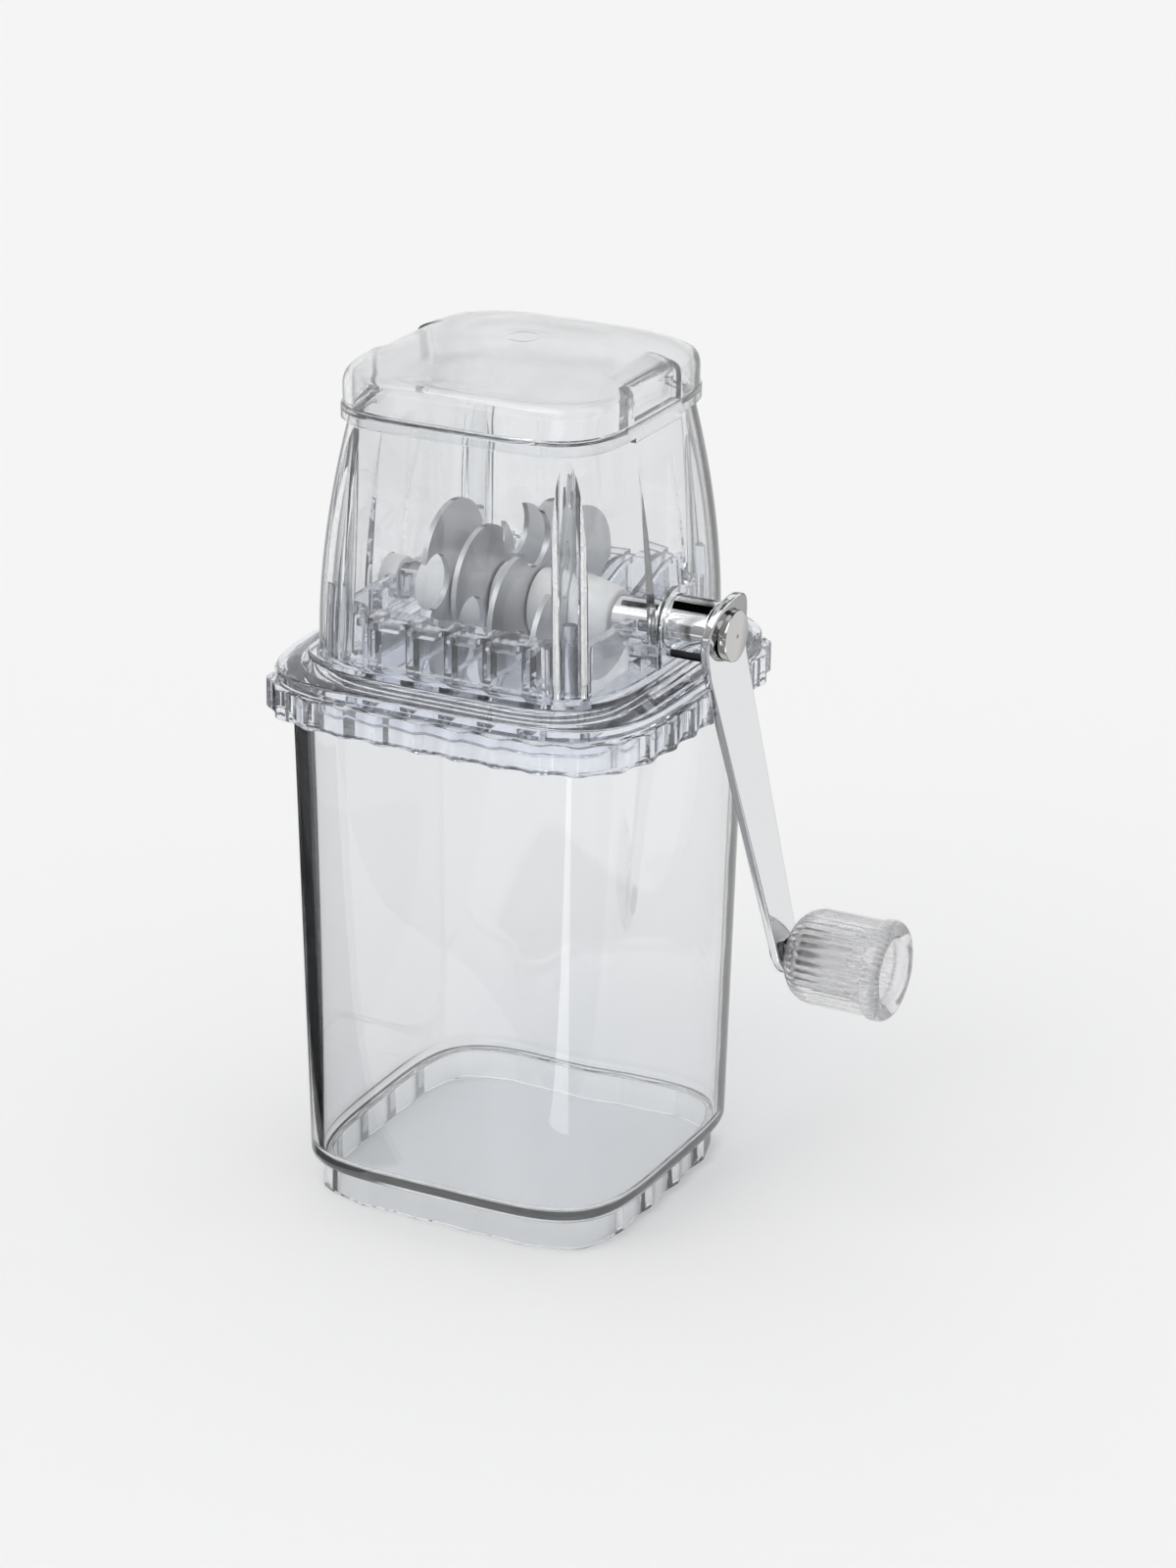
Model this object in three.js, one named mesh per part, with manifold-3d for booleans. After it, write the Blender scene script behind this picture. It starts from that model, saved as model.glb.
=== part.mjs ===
// Hand cranked ice crusher in clear plastic: a square container, a fluted collar that carries
// the crushing comb, a hopper with a lid, and a bladed shaft turned by a crank.
// Millimetres, +Z up. The origin is on the table under the container's axis, the crank is on +X.
import * as THREE from "three";
import { mergeVertices } from "three/addons/utils/BufferGeometryUtils.js";
import Module from "manifold-3d";

const wasm = await Module();
wasm.setup();

// Fits shared by all pieces
const seatGap = 0.3; // between pieces that rest on or fill each other
const overrun = 2; // how far a cutter runs past what it cuts

// Container: an upright box on a hollow scalloped foot
const footInset = 3.4; // from the container's lower edge to the foot's cusps
const footHeight = 9.6;
const footWall = 2.2;
const scallopDepth = 1.1;
const scallopCount = 20;
const containerHeight = 156.7;
const containerHalfRim = 54; // half the width at the rim
const containerTaper = 2.9; // from the rim to the foot, on each side
const containerWall = 2.4;
const containerFloor = 2.6;
const containerEdge = 2.9; // height of the rounded lower edge
const containerEdgeInset = 1.8;

// Collar: the fluted rim of the crusher base, hung over the container
const fluteCount = 36;
const fluteDepth = 1.4;
const fluteSkirt = 8.6; // height of the fluted part
const skirtPlay = 1.3; // all round, outside the container's rim
const collarWall = 3.7; // the fluted skirt's wall at a valley
const bandInset = 2.4; // from the ridges to the smooth band above them
const bandHeight = 4;
const bandRound = 0.9;
const shoulderEdge = 0.7; // the shoulder past the plate
const shoulderRise = 6.2; // from the container's rim to the top of the shoulder
const plateMargin = 2.4; // the plate past the hopper's foot
const plateRise = 8; // from the container's rim to the seat of the hopper
const plateThickness = 2.6;
const spigotDrop = 6; // the ring that locates the collar in the container
const spigotWall = 2.4;
const spigotPlay = 1; // all round, inside the container's mouth

// Hopper: a tapered clear shell with hollow corner columns
const hopperInset = 5.9; // from the container's rim to the hopper's foot
const hopperTaper = 8.9; // from the foot to the top, on each side
const hopperHeight = 67.7;
const hopperWall = 2.3;
const columnRadius = 4.6;
const columnBore = 2.6;
const columnInsetX = 11.9; // from the hopper's foot to a column's centre
const columnInsetY = 7.9;
const columnLean = 2.1; // how far a column leans in over the hopper's height
const padMargin = 0.95; // the flat pads inside the two shaft walls, past the slot
const padDepth = 5.1; // from the hopper's outer face
const bossProud = 0.2; // the bearing boss past the hopper's foot
const bossWall = 2.3;

// Comb: the frame and hollow fins that the blades pass through
const combPitch = 12;
const combInsetX = 9.1; // from the hopper's foot to the comb's frame
const combInsetY = 6.6;
const combWall = 2.5;
const combRise = 13; // above the hopper's seat
const combDrop = 5; // below the container's rim
const finCount = 5;
const finThickness = 4.4;
const finSkin = 1.2;
const finClearance = 3.5; // from a spacer to a fin's tip
const ledgeThickness = 2;
const ledgeMargin = 0.8; // the ledge past the last fin
const notchWidth = 3;
const columnPlay = 1.2; // between a column and the comb frame
const postRadius = 2.1;
const postHeight = 20.5;

// Shaft line, measured from the shaft's own axis
const shaftRise = 10; // above the hopper's seat
const squareWidth = 8;
const spigotRadius = 4;
const journalRadius = 5.9;
const studRadius = 3;
const armHoleWidth = 7;
const bushRadius = 6.2; // left bush
const bushSet = 0.5; // the left bush in from the comb's frame
const saddleWall = 3.95;
const ringThickness = 3; // right bush
const sleeveRadius = 8.75;
const crankClearance = 0.8; // from the collar's ridges to the crank arm
const nutRadius = 7.3;
const nutThickness = 2.7;
const nutCap = 1; // the closed face of the crank nut

// Blades, spacers and hubs
const bladeThickness = 1.6;
const bladeReach = 29.5;
const bladeLobe = 17; // radius of a claw's back
const bladeGullet = 8;
const bladeHub = 12;
const gulletOffset = 19.5;
const spacerRadius = 10;
const hubClearance = 6.5; // from a hub's nose to the comb's frame
const hubRadius = 10.4;
const hubNose = 7.5;
const hubLip = 1.6;

// Crank arm, its pin and the knob
const armThickness = 2.6;
const armHead = 12;
const armFoot = 6.5;
const armLength = 89.7; // between the shaft's axis and the pin's
const armBend = 6; // below the shaft's axis
const armSlope = 0.25; // outward for each unit down
const armChamfer = 0.5;
const pinRadius = 3;
const pinHead = 4.6;
const pinHeadThickness = 1.2;
const pinEnd = 5.6;
const pinEndThickness = 1.8;
const knobStandoff = 1.6; // from the arm to the knob
const knobLength = 30.8;
const knobRadius = 13.2;
const knobDome = 8;
const knobFloor = 4.2;
const knobBore = 9;
const knobRim = 14.3;
const knobRimWidth = 5.2;
const knobRibs = 36;
const knobRib = 0.35;
const washerRadius = 7;
const washerThickness = 0.8;

// Lid
const lidOverhang = 2.8; // the rim past the hopper's top
const lidRimDrop = 2; // the rim below the hopper's top
const lidRimHeight = 4.2;
const lidPlay = 0.4; // between the rim and the hopper
const lidLip = 0.5; // the rim past the dome's wall
const lidSideWall = 3.2; // the dome's wall at the ledge
const lidRise = 17.4; // from the ledge on the hopper to the top
const lidWall = 2;
const scoopHalf = 14; // half the width of a finger scoop
const scoopDepth = 2.9;
const tabDrop = 1; // the rim's tab under each scoop

// Worked out half widths
const containerHalfFoot = containerHalfRim - containerTaper;
const footHalf = containerHalfFoot - footInset;
const skirtInner = containerHalfRim + skirtPlay;
const collarHalf = skirtInner + collarWall + fluteDepth;
const bandHalf = collarHalf - bandInset;
const hopperHalfFoot = containerHalfRim - hopperInset;
const hopperHalfTop = hopperHalfFoot - hopperTaper;
const plateHalf = hopperHalfFoot + plateMargin;
const shoulderHalf = plateHalf + shoulderEdge;
const columnX = hopperHalfFoot - columnInsetX;
const columnY = hopperHalfFoot - columnInsetY;
const combHalfX = hopperHalfFoot - combInsetX;
const combHalfY = hopperHalfFoot - combInsetY;
const lidHalf = hopperHalfTop + lidOverhang;

// Worked out heights
const collarUnder = containerHeight + seatGap;
const hopperSeat = collarUnder + plateRise;
const hopperFoot = hopperSeat + seatGap;
const hopperTop = hopperFoot + hopperHeight;
const lidLedge = hopperTop + seatGap;
const combTop = hopperSeat + combRise;
const combBottom = collarUnder - combDrop;
const shaftHeight = hopperSeat + shaftRise;

// Worked out places along the shaft
const lastFin = (combPitch * (finCount - 1)) / 2;
const lastBlade = lastFin - combPitch / 2;
const finTip = spacerRadius + finClearance;
const ledgeHalf = lastFin + finThickness / 2 + ledgeMargin;
const stackEnd = lastBlade + bladeThickness / 2;
const hubStart = stackEnd + seatGap;
const hubEnd = combHalfX - combWall - hubClearance;
const hubLength = hubEnd - hubStart;
const journalStart = hubEnd + seatGap;
const ringStart = hopperHalfFoot - padDepth;
const ringEnd = ringStart + ringThickness;
const sleeveStart = ringEnd + seatGap;
const armInner = collarHalf + crankClearance;
const sleeveEnd = armInner - seatGap;
const armOuter = armInner + armThickness;
const nutStart = armOuter + seatGap;
const slotRadius = sleeveRadius + seatGap;
const padHalf = slotRadius + padMargin;
const saddleHalf = slotRadius + saddleWall;
const bushEnd = hopperHalfFoot - hopperWall - seatGap;
const shaftBore = journalRadius + seatGap;
const bushInner = combHalfX - combWall + bushSet;
const squareStart = bushInner - seatGap;
const pinFaceInner = armInner + armSlope * (armLength - armBend);
const pinFaceOuter = pinFaceInner + armThickness;
const knobStart = pinFaceOuter + knobStandoff;

// Roundness of the outlines, from 2 for a circle up to a square
const containerPower = 4.7;
const footPower = 5.3;
const collarPower = 4.47;
const hopperPowerFoot = 4.3;
const hopperPowerTop = 5.3;
const lidPower = 4.7;
const taperPower = 1.75; // how late the hopper's walls draw in with height

// Counts and turns
const squareColumns = 48; // points round a rounded square
const curveColumns = 384; // points round a rounded square that a wavy one follows
const roundSides = 24; // points round a shaft
const smallSides = 16;
const bladeSides = 28;
const scallopSteps = 4;
const clawCount = 3;
const gulletTurn = 38; // degrees from a claw to its gullet
const bladeStagger = 30; // degrees from each blade to the next
const endTurns = [1.4, 0.95, 0.5]; // round the arm's ends, in radians
const domeTurns = [0.5, 1]; // round the knob's dome, in radians

// Shares of the sizes above
const edgeHeightShare = 0.3;
const edgeInsetShare = 0.4;
const ridgeShare = 0.16; // of a flute's pitch
const hollowShares = [0, 0.3, 0.7];
const hopperShares = [0, 0.2, 0.4, 0.6, 0.8, 1];
const knobNoseShare = 0.4;
const knobRoundShare = 0.25; // of the rim's width
const padLeanShare = 0.8; // of the pad's depth, lost by the hopper's top
const topShare = 1;
// A fin's outline and its pocket: out from its tip to the frame, and up from the comb's foot
const finShares = [[0.95, 1], [0.73, 1], [0.09, 0.73], [0, 0.62], [0, 0.42], [0.3, 0.04], [0.95, 0.04]];
const pocketShares = [[1.1, 0.92], [0.7, 0.92], [0.2, 0.68], [0.14, 0.62], [0.14, 0.54], [1.1, 0.54]];
// The lid's dome: up, out and how much of its squareness is left
const lidShares = [
  [0, 1, 1],
  [0.374, 1, 1],
  [0.58, 0.98, 0.92],
  [0.697, 0.905, 0.84],
  [0.781, 0.79, 0.77],
  [0.865, 0.585, 0.72],
  [0.942, 0.386, 0.66],
  [0.987, 0.193, 0.58],
  [1, 0.1, 0.5],
];
// A finger scoop: up the dome, and its depth there
const scoopShares = [[0, 1], [0.2, 0.95], [0.4, 0.8], [0.6, 0.5], [0.75, 0.15], [0.84, -0.2]];

const clearPlastic = { color: 0xe9edf0, roughness: 0.06, metalness: 0 };
const bluePlastic = { color: 0xcfd6e2, roughness: 0.08, metalness: 0 };
const smokePlastic = { color: 0xc9c9c6, roughness: 0.16, metalness: 0 };
const whitePlastic = { color: 0xf0f0ee, roughness: 0.4, metalness: 0 };
const chrome = { color: 0xe2e2e4, roughness: 0.05, metalness: 1 };
const steel = { color: 0xb9babb, roughness: 0.28, metalness: 1 };

// Half the hopper's outside width at a share of its height
function hopperHalf(share) {
  return hopperHalfFoot - hopperTaper * share ** taperPower;
}

// The hopper's roundness at a share of its height
function hopperPower(share) {
  return hopperPowerFoot + (hopperPowerTop - hopperPowerFoot) * share;
}

// How far in from the hopper's outer face its flat pads reach at a share of its height
function padDepthAt(share) {
  return padDepth * (1 - padLeanShare * share * share);
}

// Points round a square with rounded corners, which are closest at the corners
function outline(half, power, columns = squareColumns) {
  return Array.from({ length: columns }, (_, step) => {
    const turn = (step / columns) * 2 * Math.PI;
    const across = Math.cos(turn);
    const along = Math.sin(turn);
    return new THREE.Vector2(
      half * Math.sign(across) * Math.abs(across) ** (2 / power),
      half * Math.sign(along) * Math.abs(along) ** (2 / power),
    );
  });
}

// An outline at one height
function ring(height, half, power, columns) {
  return outline(half, power, columns).map((point) => new THREE.Vector3(point.x, point.y, height));
}

// An outline at one height, set in at each of the given shares of the way round
function wavyRing(height, half, power, waves) {
  const curve = new THREE.CatmullRomCurve3(ring(height, half, power, curveColumns), true);
  curve.arcLengthDivisions = curveColumns * 2;
  return waves.map(([share, inset]) => {
    const tangent = curve.getTangentAt(share);
    const inward = new THREE.Vector3(-tangent.y, tangent.x, 0);
    return curve.getPointAt(share).addScaledVector(inward, inset);
  });
}

// A closed body through rings of one count, given up the outside and down the inside.
// Its two ends are closed by flat fans, or joined to each other where it is looped.
function loft(rings, looped = false) {
  const columns = rings[0].length;
  const points = rings.flat();
  const faces = [];
  const bands = looped ? rings.length : rings.length - 1;
  for (let band = 0; band < bands; band += 1) {
    const low = band * columns;
    const high = ((band + 1) % rings.length) * columns;
    for (let step = 0; step < columns; step += 1) {
      const next = (step + 1) % columns;
      faces.push(low + step, low + next, high + next);
      faces.push(low + step, high + next, high + step);
    }
  }
  if (!looped) {
    const last = (rings.length - 1) * columns;
    const under = points.push(middle(rings[0])) - 1;
    const over = points.push(middle(rings[rings.length - 1])) - 1;
    for (let step = 0; step < columns; step += 1) {
      const next = (step + 1) % columns;
      faces.push(under, next, step);
      faces.push(over, last + step, last + next);
    }
  }
  const geometry = new THREE.BufferGeometry().setFromPoints(points);
  geometry.setIndex(faces);
  return geometry;
}

function middle(points) {
  const sum = new THREE.Vector3();
  points.forEach((point) => sum.add(point));
  return sum.divideScalar(points.length);
}

// A geometry as a solid that can be joined and cut
function solid(geometry) {
  const plain = geometry.index ? geometry.toNonIndexed() : geometry.clone();
  plain.deleteAttribute("normal");
  plain.deleteAttribute("uv");
  const merged = mergeVertices(plain);
  return new wasm.Manifold(
    new wasm.Mesh({
      numProp: 3,
      vertProperties: new Float32Array(merged.attributes.position.array),
      triVerts: new Uint32Array(merged.index.array),
    }),
  );
}

function joined(first, ...others) {
  return others.reduce((whole, piece) => whole.add(piece), first);
}

function cut(first, ...others) {
  return others.reduce((whole, piece) => whole.subtract(piece), first);
}

// A solid as a geometry, with flat shading
function shape(body) {
  const mesh = body.getMesh();
  const geometry = new THREE.BufferGeometry();
  geometry.setAttribute("position", new THREE.BufferAttribute(mesh.vertProperties, 3));
  geometry.setIndex(new THREE.BufferAttribute(mesh.triVerts, 1));
  const flat = geometry.toNonIndexed();
  flat.computeVertexNormals();
  return flat;
}

// Basic solids, in the frame that they are used in
function block(fromX, toX, fromY, toY, fromZ, toZ) {
  const box = new THREE.BoxGeometry(toX - fromX, toY - fromY, toZ - fromZ);
  box.translate((fromX + toX) / 2, (fromY + toY) / 2, (fromZ + toZ) / 2);
  return solid(box);
}

function rod(radius, fromX, toX, sides = roundSides) {
  const cylinder = new THREE.CylinderGeometry(radius, radius, toX - fromX, sides);
  cylinder.rotateZ(-Math.PI / 2);
  return solid(cylinder.translate((fromX + toX) / 2, 0, 0));
}

// The rings of a round body about X, from [place along X, radius, ribbed], out and back in
function turned(profile, sides = roundSides, ribs = () => 0) {
  return profile.map(([along, radius, ribbed]) =>
    Array.from({ length: sides }, (_, step) => {
      const turn = (step / sides) * 2 * Math.PI;
      const reach = radius + (ribbed ? ribs(step) : 0);
      return new THREE.Vector3(along, reach * Math.cos(turn), reach * Math.sin(turn));
    }),
  );
}

// An outline in Y and Z, from one X to another
function acrossX(points, fromX, toX) {
  const outlineShape = new THREE.Shape(points.map(([y, z]) => new THREE.Vector2(y, z)));
  const plate = new THREE.ExtrudeGeometry(outlineShape, { depth: toX - fromX, bevelEnabled: false });
  plate.applyMatrix4(
    new THREE.Matrix4().makeBasis(
      new THREE.Vector3(0, 1, 0),
      new THREE.Vector3(0, 0, 1),
      new THREE.Vector3(1, 0, 0),
    ),
  );
  return solid(plate.translate(fromX, 0, 0));
}

// An outline in X and Z, over a width centred on Y
function acrossY(points, halfWidth) {
  const outlineShape = new THREE.Shape(points.map(([x, z]) => new THREE.Vector2(x, z)));
  const plate = new THREE.ExtrudeGeometry(outlineShape, { depth: 2 * halfWidth, bevelEnabled: false });
  plate.rotateX(Math.PI / 2);
  return solid(plate.translate(0, halfWidth, 0));
}

// The same solid on both sides of the plane across X
function bothSides(body) {
  return body.add(body.rotate([0, 0, 180]));
}

// The container's outside half width at a height
function containerHalf(height) {
  const share = (height - footHeight - containerEdge) / (containerHeight - footHeight - containerEdge);
  return containerHalfFoot + (containerHalfRim - containerHalfFoot) * share;
}

function makeContainer() {
  const floorTop = footHeight + containerFloor;
  const inner = (height) => containerHalf(height) - containerWall;
  const edgeHeight = edgeHeightShare * containerEdge;
  const edgeInset = edgeInsetShare * containerEdgeInset;
  const box = loft([
    ring(footHeight, containerHalfFoot - containerEdgeInset, containerPower),
    ring(footHeight + edgeHeight, containerHalfFoot - edgeInset, containerPower),
    ring(footHeight + containerEdge, containerHalfFoot, containerPower),
    ring(containerHeight, containerHalfRim, containerPower),
    ring(containerHeight, inner(containerHeight), containerPower),
    ring(floorTop + containerEdge, inner(floorTop + containerEdge), containerPower),
    ring(floorTop + edgeHeight, inner(floorTop) - edgeInset, containerPower),
    ring(floorTop, inner(floorTop) - containerEdgeInset, containerPower),
  ]);
  // Scallops meet in sharp cusps, with a hollow in the middle of each side
  const waves = Array.from({ length: scallopCount * scallopSteps }, (_, step) => [
    step / (scallopCount * scallopSteps),
    scallopDepth * Math.abs(Math.cos((Math.PI * step) / scallopSteps)),
  ]);
  const plain = waves.map(([share]) => [share, 0]);
  const footTop = footHeight + containerFloor / 2;
  const foot = loft(
    [
      wavyRing(0, footHalf, footPower, waves),
      wavyRing(footTop, footHalf, footPower, waves),
      wavyRing(footTop, footHalf - footWall, footPower, plain),
      wavyRing(0, footHalf - footWall, footPower, plain),
    ],
    true,
  );
  return solid(box).add(solid(foot));
}

// The collar's outside: narrow ridges with wide shallow hollows between them
function makeFlutedSkirt() {
  const waves = [];
  for (let flute = 0; flute < fluteCount; flute += 1) {
    const place = (share) => (1 + (flute - ridgeShare / 2 + share) / fluteCount) % 1;
    waves.push([place(0), 0]);
    hollowShares.forEach((share) => {
      const depth = fluteDepth * Math.sin(Math.PI * share);
      waves.push([place(ridgeShare + (1 - ridgeShare) * share), depth]);
    });
  }
  const plain = waves.map(([share]) => [share, 0]);
  const under = collarUnder - fluteSkirt;
  return solid(
    loft(
      [
        wavyRing(under, collarHalf, collarPower, waves),
        wavyRing(collarUnder, collarHalf, collarPower, waves),
        wavyRing(collarUnder, skirtInner, collarPower, plain),
        wavyRing(under, skirtInner, collarPower, plain),
      ],
      true,
    ),
  );
}

// The flange on the container's rim, the ring that locates it and the plate under the hopper
function makeFlange() {
  const spigotOuter = containerHalfRim - containerWall - spigotPlay;
  const spigotInner = spigotOuter - spigotWall;
  const bandTop = collarUnder + bandHeight;
  const shoulderTop = collarUnder + shoulderRise;
  return solid(
    loft([
      ring(hopperSeat - plateThickness, spigotInner, containerPower),
      ring(collarUnder - spigotDrop, spigotInner, containerPower),
      ring(collarUnder - spigotDrop, spigotOuter, containerPower),
      ring(collarUnder, spigotOuter, containerPower),
      ring(collarUnder, bandHalf, collarPower),
      ring(bandTop - bandRound, bandHalf, collarPower),
      ring(bandTop, bandHalf - bandRound, collarPower),
      ring(shoulderTop, shoulderHalf, collarPower),
      ring(shoulderTop, plateHalf, collarPower),
      ring(hopperSeat, plateHalf, collarPower),
    ]),
  );
}

// Upright cylinders at the hopper's four columns, leaning in with height
function atColumns(radius, fromZ, toZ) {
  const pieces = [];
  for (const sideX of [-1, 1]) {
    for (const sideY of [-1, 1]) {
      const cylinder = new THREE.CylinderGeometry(radius, radius, toZ - fromZ, smallSides);
      cylinder.rotateX(Math.PI / 2);
      cylinder.translate(sideX * columnX, sideY * columnY, (fromZ + toZ) / 2 - hopperFoot);
      const lean = -columnLean / hopperHeight;
      cylinder.applyMatrix4(new THREE.Matrix4().makeShear(0, 0, 0, 0, sideX * lean, sideY * lean));
      pieces.push(solid(cylinder.translate(0, 0, hopperFoot)));
    }
  }
  return joined(...pieces);
}

// A half width in the comb, from a fin's tip out to the frame, and a height from its foot up
function combPoint([outShare, upShare]) {
  return [
    finTip + outShare * (combHalfY - finTip),
    combBottom + upShare * (combTop - combBottom),
  ];
}

// Hollow fins in rows on both sides, open towards the hopper's wall
function makeFins() {
  const bodies = [];
  const pockets = [];
  for (let fin = 0; fin < finCount; fin += 1) {
    const middleX = fin * combPitch - lastFin;
    const half = finThickness / 2;
    bodies.push(acrossX(finShares.map(combPoint), middleX - half, middleX + half));
    const hollow = half - finSkin;
    pockets.push(acrossX(pocketShares.map(combPoint), middleX - hollow, middleX + hollow));
  }
  return [bothSides(joined(...bodies)), bothSides(joined(...pockets))];
}

// The ledge that closes the gap between the comb and the hopper, notched at each fin
function makeLedge() {
  const bottom = combTop - ledgeThickness;
  const edge = (height) => {
    const share = (height - hopperFoot) / hopperHeight;
    return ring(height, hopperHalf(share) - hopperWall - seatGap, hopperPower(share));
  };
  const inside = solid(loft([edge(bottom), edge(combTop)]));
  const strip = block(-ledgeHalf, ledgeHalf, combHalfY - combWall / 2, hopperHalfFoot, bottom, combTop);
  const notches = [];
  for (let fin = 0; fin < finCount; fin += 1) {
    const middleX = fin * combPitch - lastFin;
    const low = bottom - overrun;
    const high = combTop + overrun;
    const half = notchWidth / 2;
    notches.push(block(middleX - half, middleX + half, combHalfY, hopperHalfFoot, low, high));
  }
  return bothSides(cut(strip.intersect(inside), ...notches));
}

// The blocks that carry the shaft, with a groove for its bearings
function cutSaddles(body) {
  const inner = combHalfX - combWall;
  const share = shaftRise / hopperHeight;
  const outer = hopperHalf(share) - padDepthAt(share) - seatGap;
  const bottom = hopperSeat - plateThickness;
  const saddle = block(inner, outer, -saddleHalf, saddleHalf, bottom, shaftHeight);
  const tongueHalf = slotRadius - seatGap;
  const tongue = block(inner, hopperHalfFoot, -tongueHalf, tongueHalf, bottom, shaftHeight);
  const open = combTop + overrun;
  const rightEnd = hopperHalfFoot + overrun;
  const right = rod(slotRadius, inner - overrun, rightEnd).translate([0, 0, shaftHeight]);
  const rightTop = block(inner - overrun, rightEnd, -slotRadius, slotRadius, shaftHeight, open);
  const leftRadius = bushRadius + seatGap;
  const left = rod(leftRadius, -rightEnd, overrun - inner).translate([0, 0, shaftHeight]);
  const leftTop = block(-rightEnd, overrun - inner, -leftRadius, leftRadius, shaftHeight, open);
  return cut(joined(body, bothSides(saddle), tongue), right, rightTop, left, leftTop);
}

function makePosts() {
  const rings = hopperShares.map((share) => hopperRing(share, hopperWall + seatGap));
  const low = hopperSeat - plateThickness / 2;
  const foot = ring(low, hopperHalfFoot - hopperWall - seatGap, hopperPowerFoot);
  const inside = solid(loft([foot, ...rings]));
  return atColumns(postRadius, low, hopperSeat + postHeight).intersect(inside);
}

function makeCrusherBase() {
  const low = combBottom - overrun;
  const high = combTop + overrun;
  const notch = columnRadius + columnPlay;
  const frameOuter = block(-combHalfX, combHalfX, -combHalfY, combHalfY, combBottom, combTop);
  const innerX = combHalfX - combWall;
  const innerY = combHalfY - combWall;
  const frameInner = block(-innerX, innerX, -innerY, innerY, low, high);
  const corners = atColumns(notch, low, high);
  const innerCorners = atColumns(notch + combWall, low, high);
  const flange = makeFlange().add(makeFlutedSkirt());
  const walls = flange.add(frameOuter.subtract(corners));
  const opened = walls.subtract(frameInner.subtract(innerCorners));
  const [fins, pockets] = makeFins();
  const comb = joined(opened, fins, makeLedge()).subtract(pockets);
  return cutSaddles(comb).add(makePosts());
}

// The hopper's outline at a share of its height, set in from its outer face
function hopperRing(share, inset) {
  return ring(hopperFoot + share * hopperHeight, hopperHalf(share) - inset, hopperPower(share));
}

function makeHopper() {
  const outer = solid(loft(hopperShares.map((share) => hopperRing(share, 0))));
  const cavity = solid(
    loft([
      ring(hopperFoot - overrun, hopperHalfFoot - hopperWall, hopperPowerFoot),
      ...hopperShares.map((share) => hopperRing(share, hopperWall)),
      ring(hopperTop + overrun, hopperHalfTop - hopperWall, hopperPowerTop),
    ]),
  );
  const low = hopperFoot - overrun;
  const columns = atColumns(columnRadius, low, hopperTop);
  const bores = atColumns(columnBore, low - overrun, hopperTop);
  const padFace = hopperShares.map((share) => [
    hopperHalf(share) - padDepthAt(share),
    hopperFoot + share * hopperHeight,
  ]);
  const outside = hopperHalfFoot + overrun;
  const pad = acrossY([[outside, hopperFoot], [outside, hopperTop], ...padFace.reverse()], padHalf);
  const hollow = cut(cavity, columns.subtract(bores), bothSides(pad));
  // The boss on the crank side is an upside down U round the slot that drops over the shaft
  const bossHalf = slotRadius + bossWall;
  const arch = archPoints(bossHalf, hopperFoot);
  const archShare = (shaftRise + bossHalf) / hopperHeight;
  const bossInner = hopperHalf(archShare) - hopperWall / 2;
  const boss = acrossX(arch, bossInner, hopperHalfFoot + bossProud);
  const slot = acrossX(archPoints(slotRadius, low), combHalfX, hopperHalfFoot + bossProud + overrun);
  const blindEnd = hopperHalfFoot - hopperWall;
  const blindSlot = acrossX(archPoints(bushRadius + seatGap, low), -blindEnd, -combHalfX);
  return cut(outer.subtract(hollow).add(boss), slot, blindSlot);
}

// An arch round the shaft's axis, with straight legs down to a height
function archPoints(radius, footZ) {
  const points = [[-radius, footZ], [radius, footZ]];
  for (let step = 0; step <= smallSides; step += 1) {
    const turn = (step / smallSides) * Math.PI;
    points.push([radius * Math.cos(turn), shaftHeight + radius * Math.sin(turn)]);
  }
  return points;
}

function makeLid() {
  const rimBottom = hopperTop - lidRimDrop;
  const rimTop = rimBottom + lidRimHeight;
  const top = lidLedge + lidRise;
  const domeHalf = lidHalf - lidLip;
  const dome = lidShares.map(([up, out, round]) => [
    rimTop + up * (top - rimTop),
    out * domeHalf,
    round * lidPower,
  ]);
  const outer = loft([
    ring(rimBottom, lidHalf, lidPower),
    ring(rimTop, lidHalf, lidPower),
    ...dome.map((row) => ring(...row)),
  ]);
  const rimInner = hopperHalf(topShare - (lidRimDrop + tabDrop) / hopperHeight) + lidPlay;
  const inner = loft([
    ring(rimBottom - tabDrop - overrun, rimInner, hopperPowerTop),
    ring(lidLedge, rimInner, hopperPowerTop),
    ring(lidLedge, domeHalf - lidSideWall, lidPower),
    ...dome.map((_, place) => ring(...domeInside(dome, place))),
  ]);
  // A scoop is a shallow recess that is deepest at the rim and runs out on the dome
  const recess = scoopShares.map(([up, depth]) => {
    const height = rimTop + up * (top - rimTop);
    return [lidHalfAt(up) - depth * scoopDepth, height];
  });
  const beyond = lidHalf + overrun;
  const last = recess[recess.length - 1];
  const scoop = [...recess, [beyond, last[1]], [beyond, rimTop]];
  const backing = recess.map(([x, z]) => [x - lidWall, z]);
  const keep = [
    [backing[0][0], lidLedge],
    ...backing,
    [beyond, last[1]],
    [beyond, lidLedge],
  ];
  const hollow = solid(inner).subtract(bothSides(acrossY(keep, scoopHalf + lidWall)));
  const tab = block(rimInner, lidHalf, -scoopHalf, scoopHalf, rimBottom - tabDrop, rimBottom);
  const scooped = solid(outer).subtract(bothSides(acrossY(scoop, scoopHalf)));
  return joined(scooped, bothSides(tab)).subtract(hollow);
}

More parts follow.
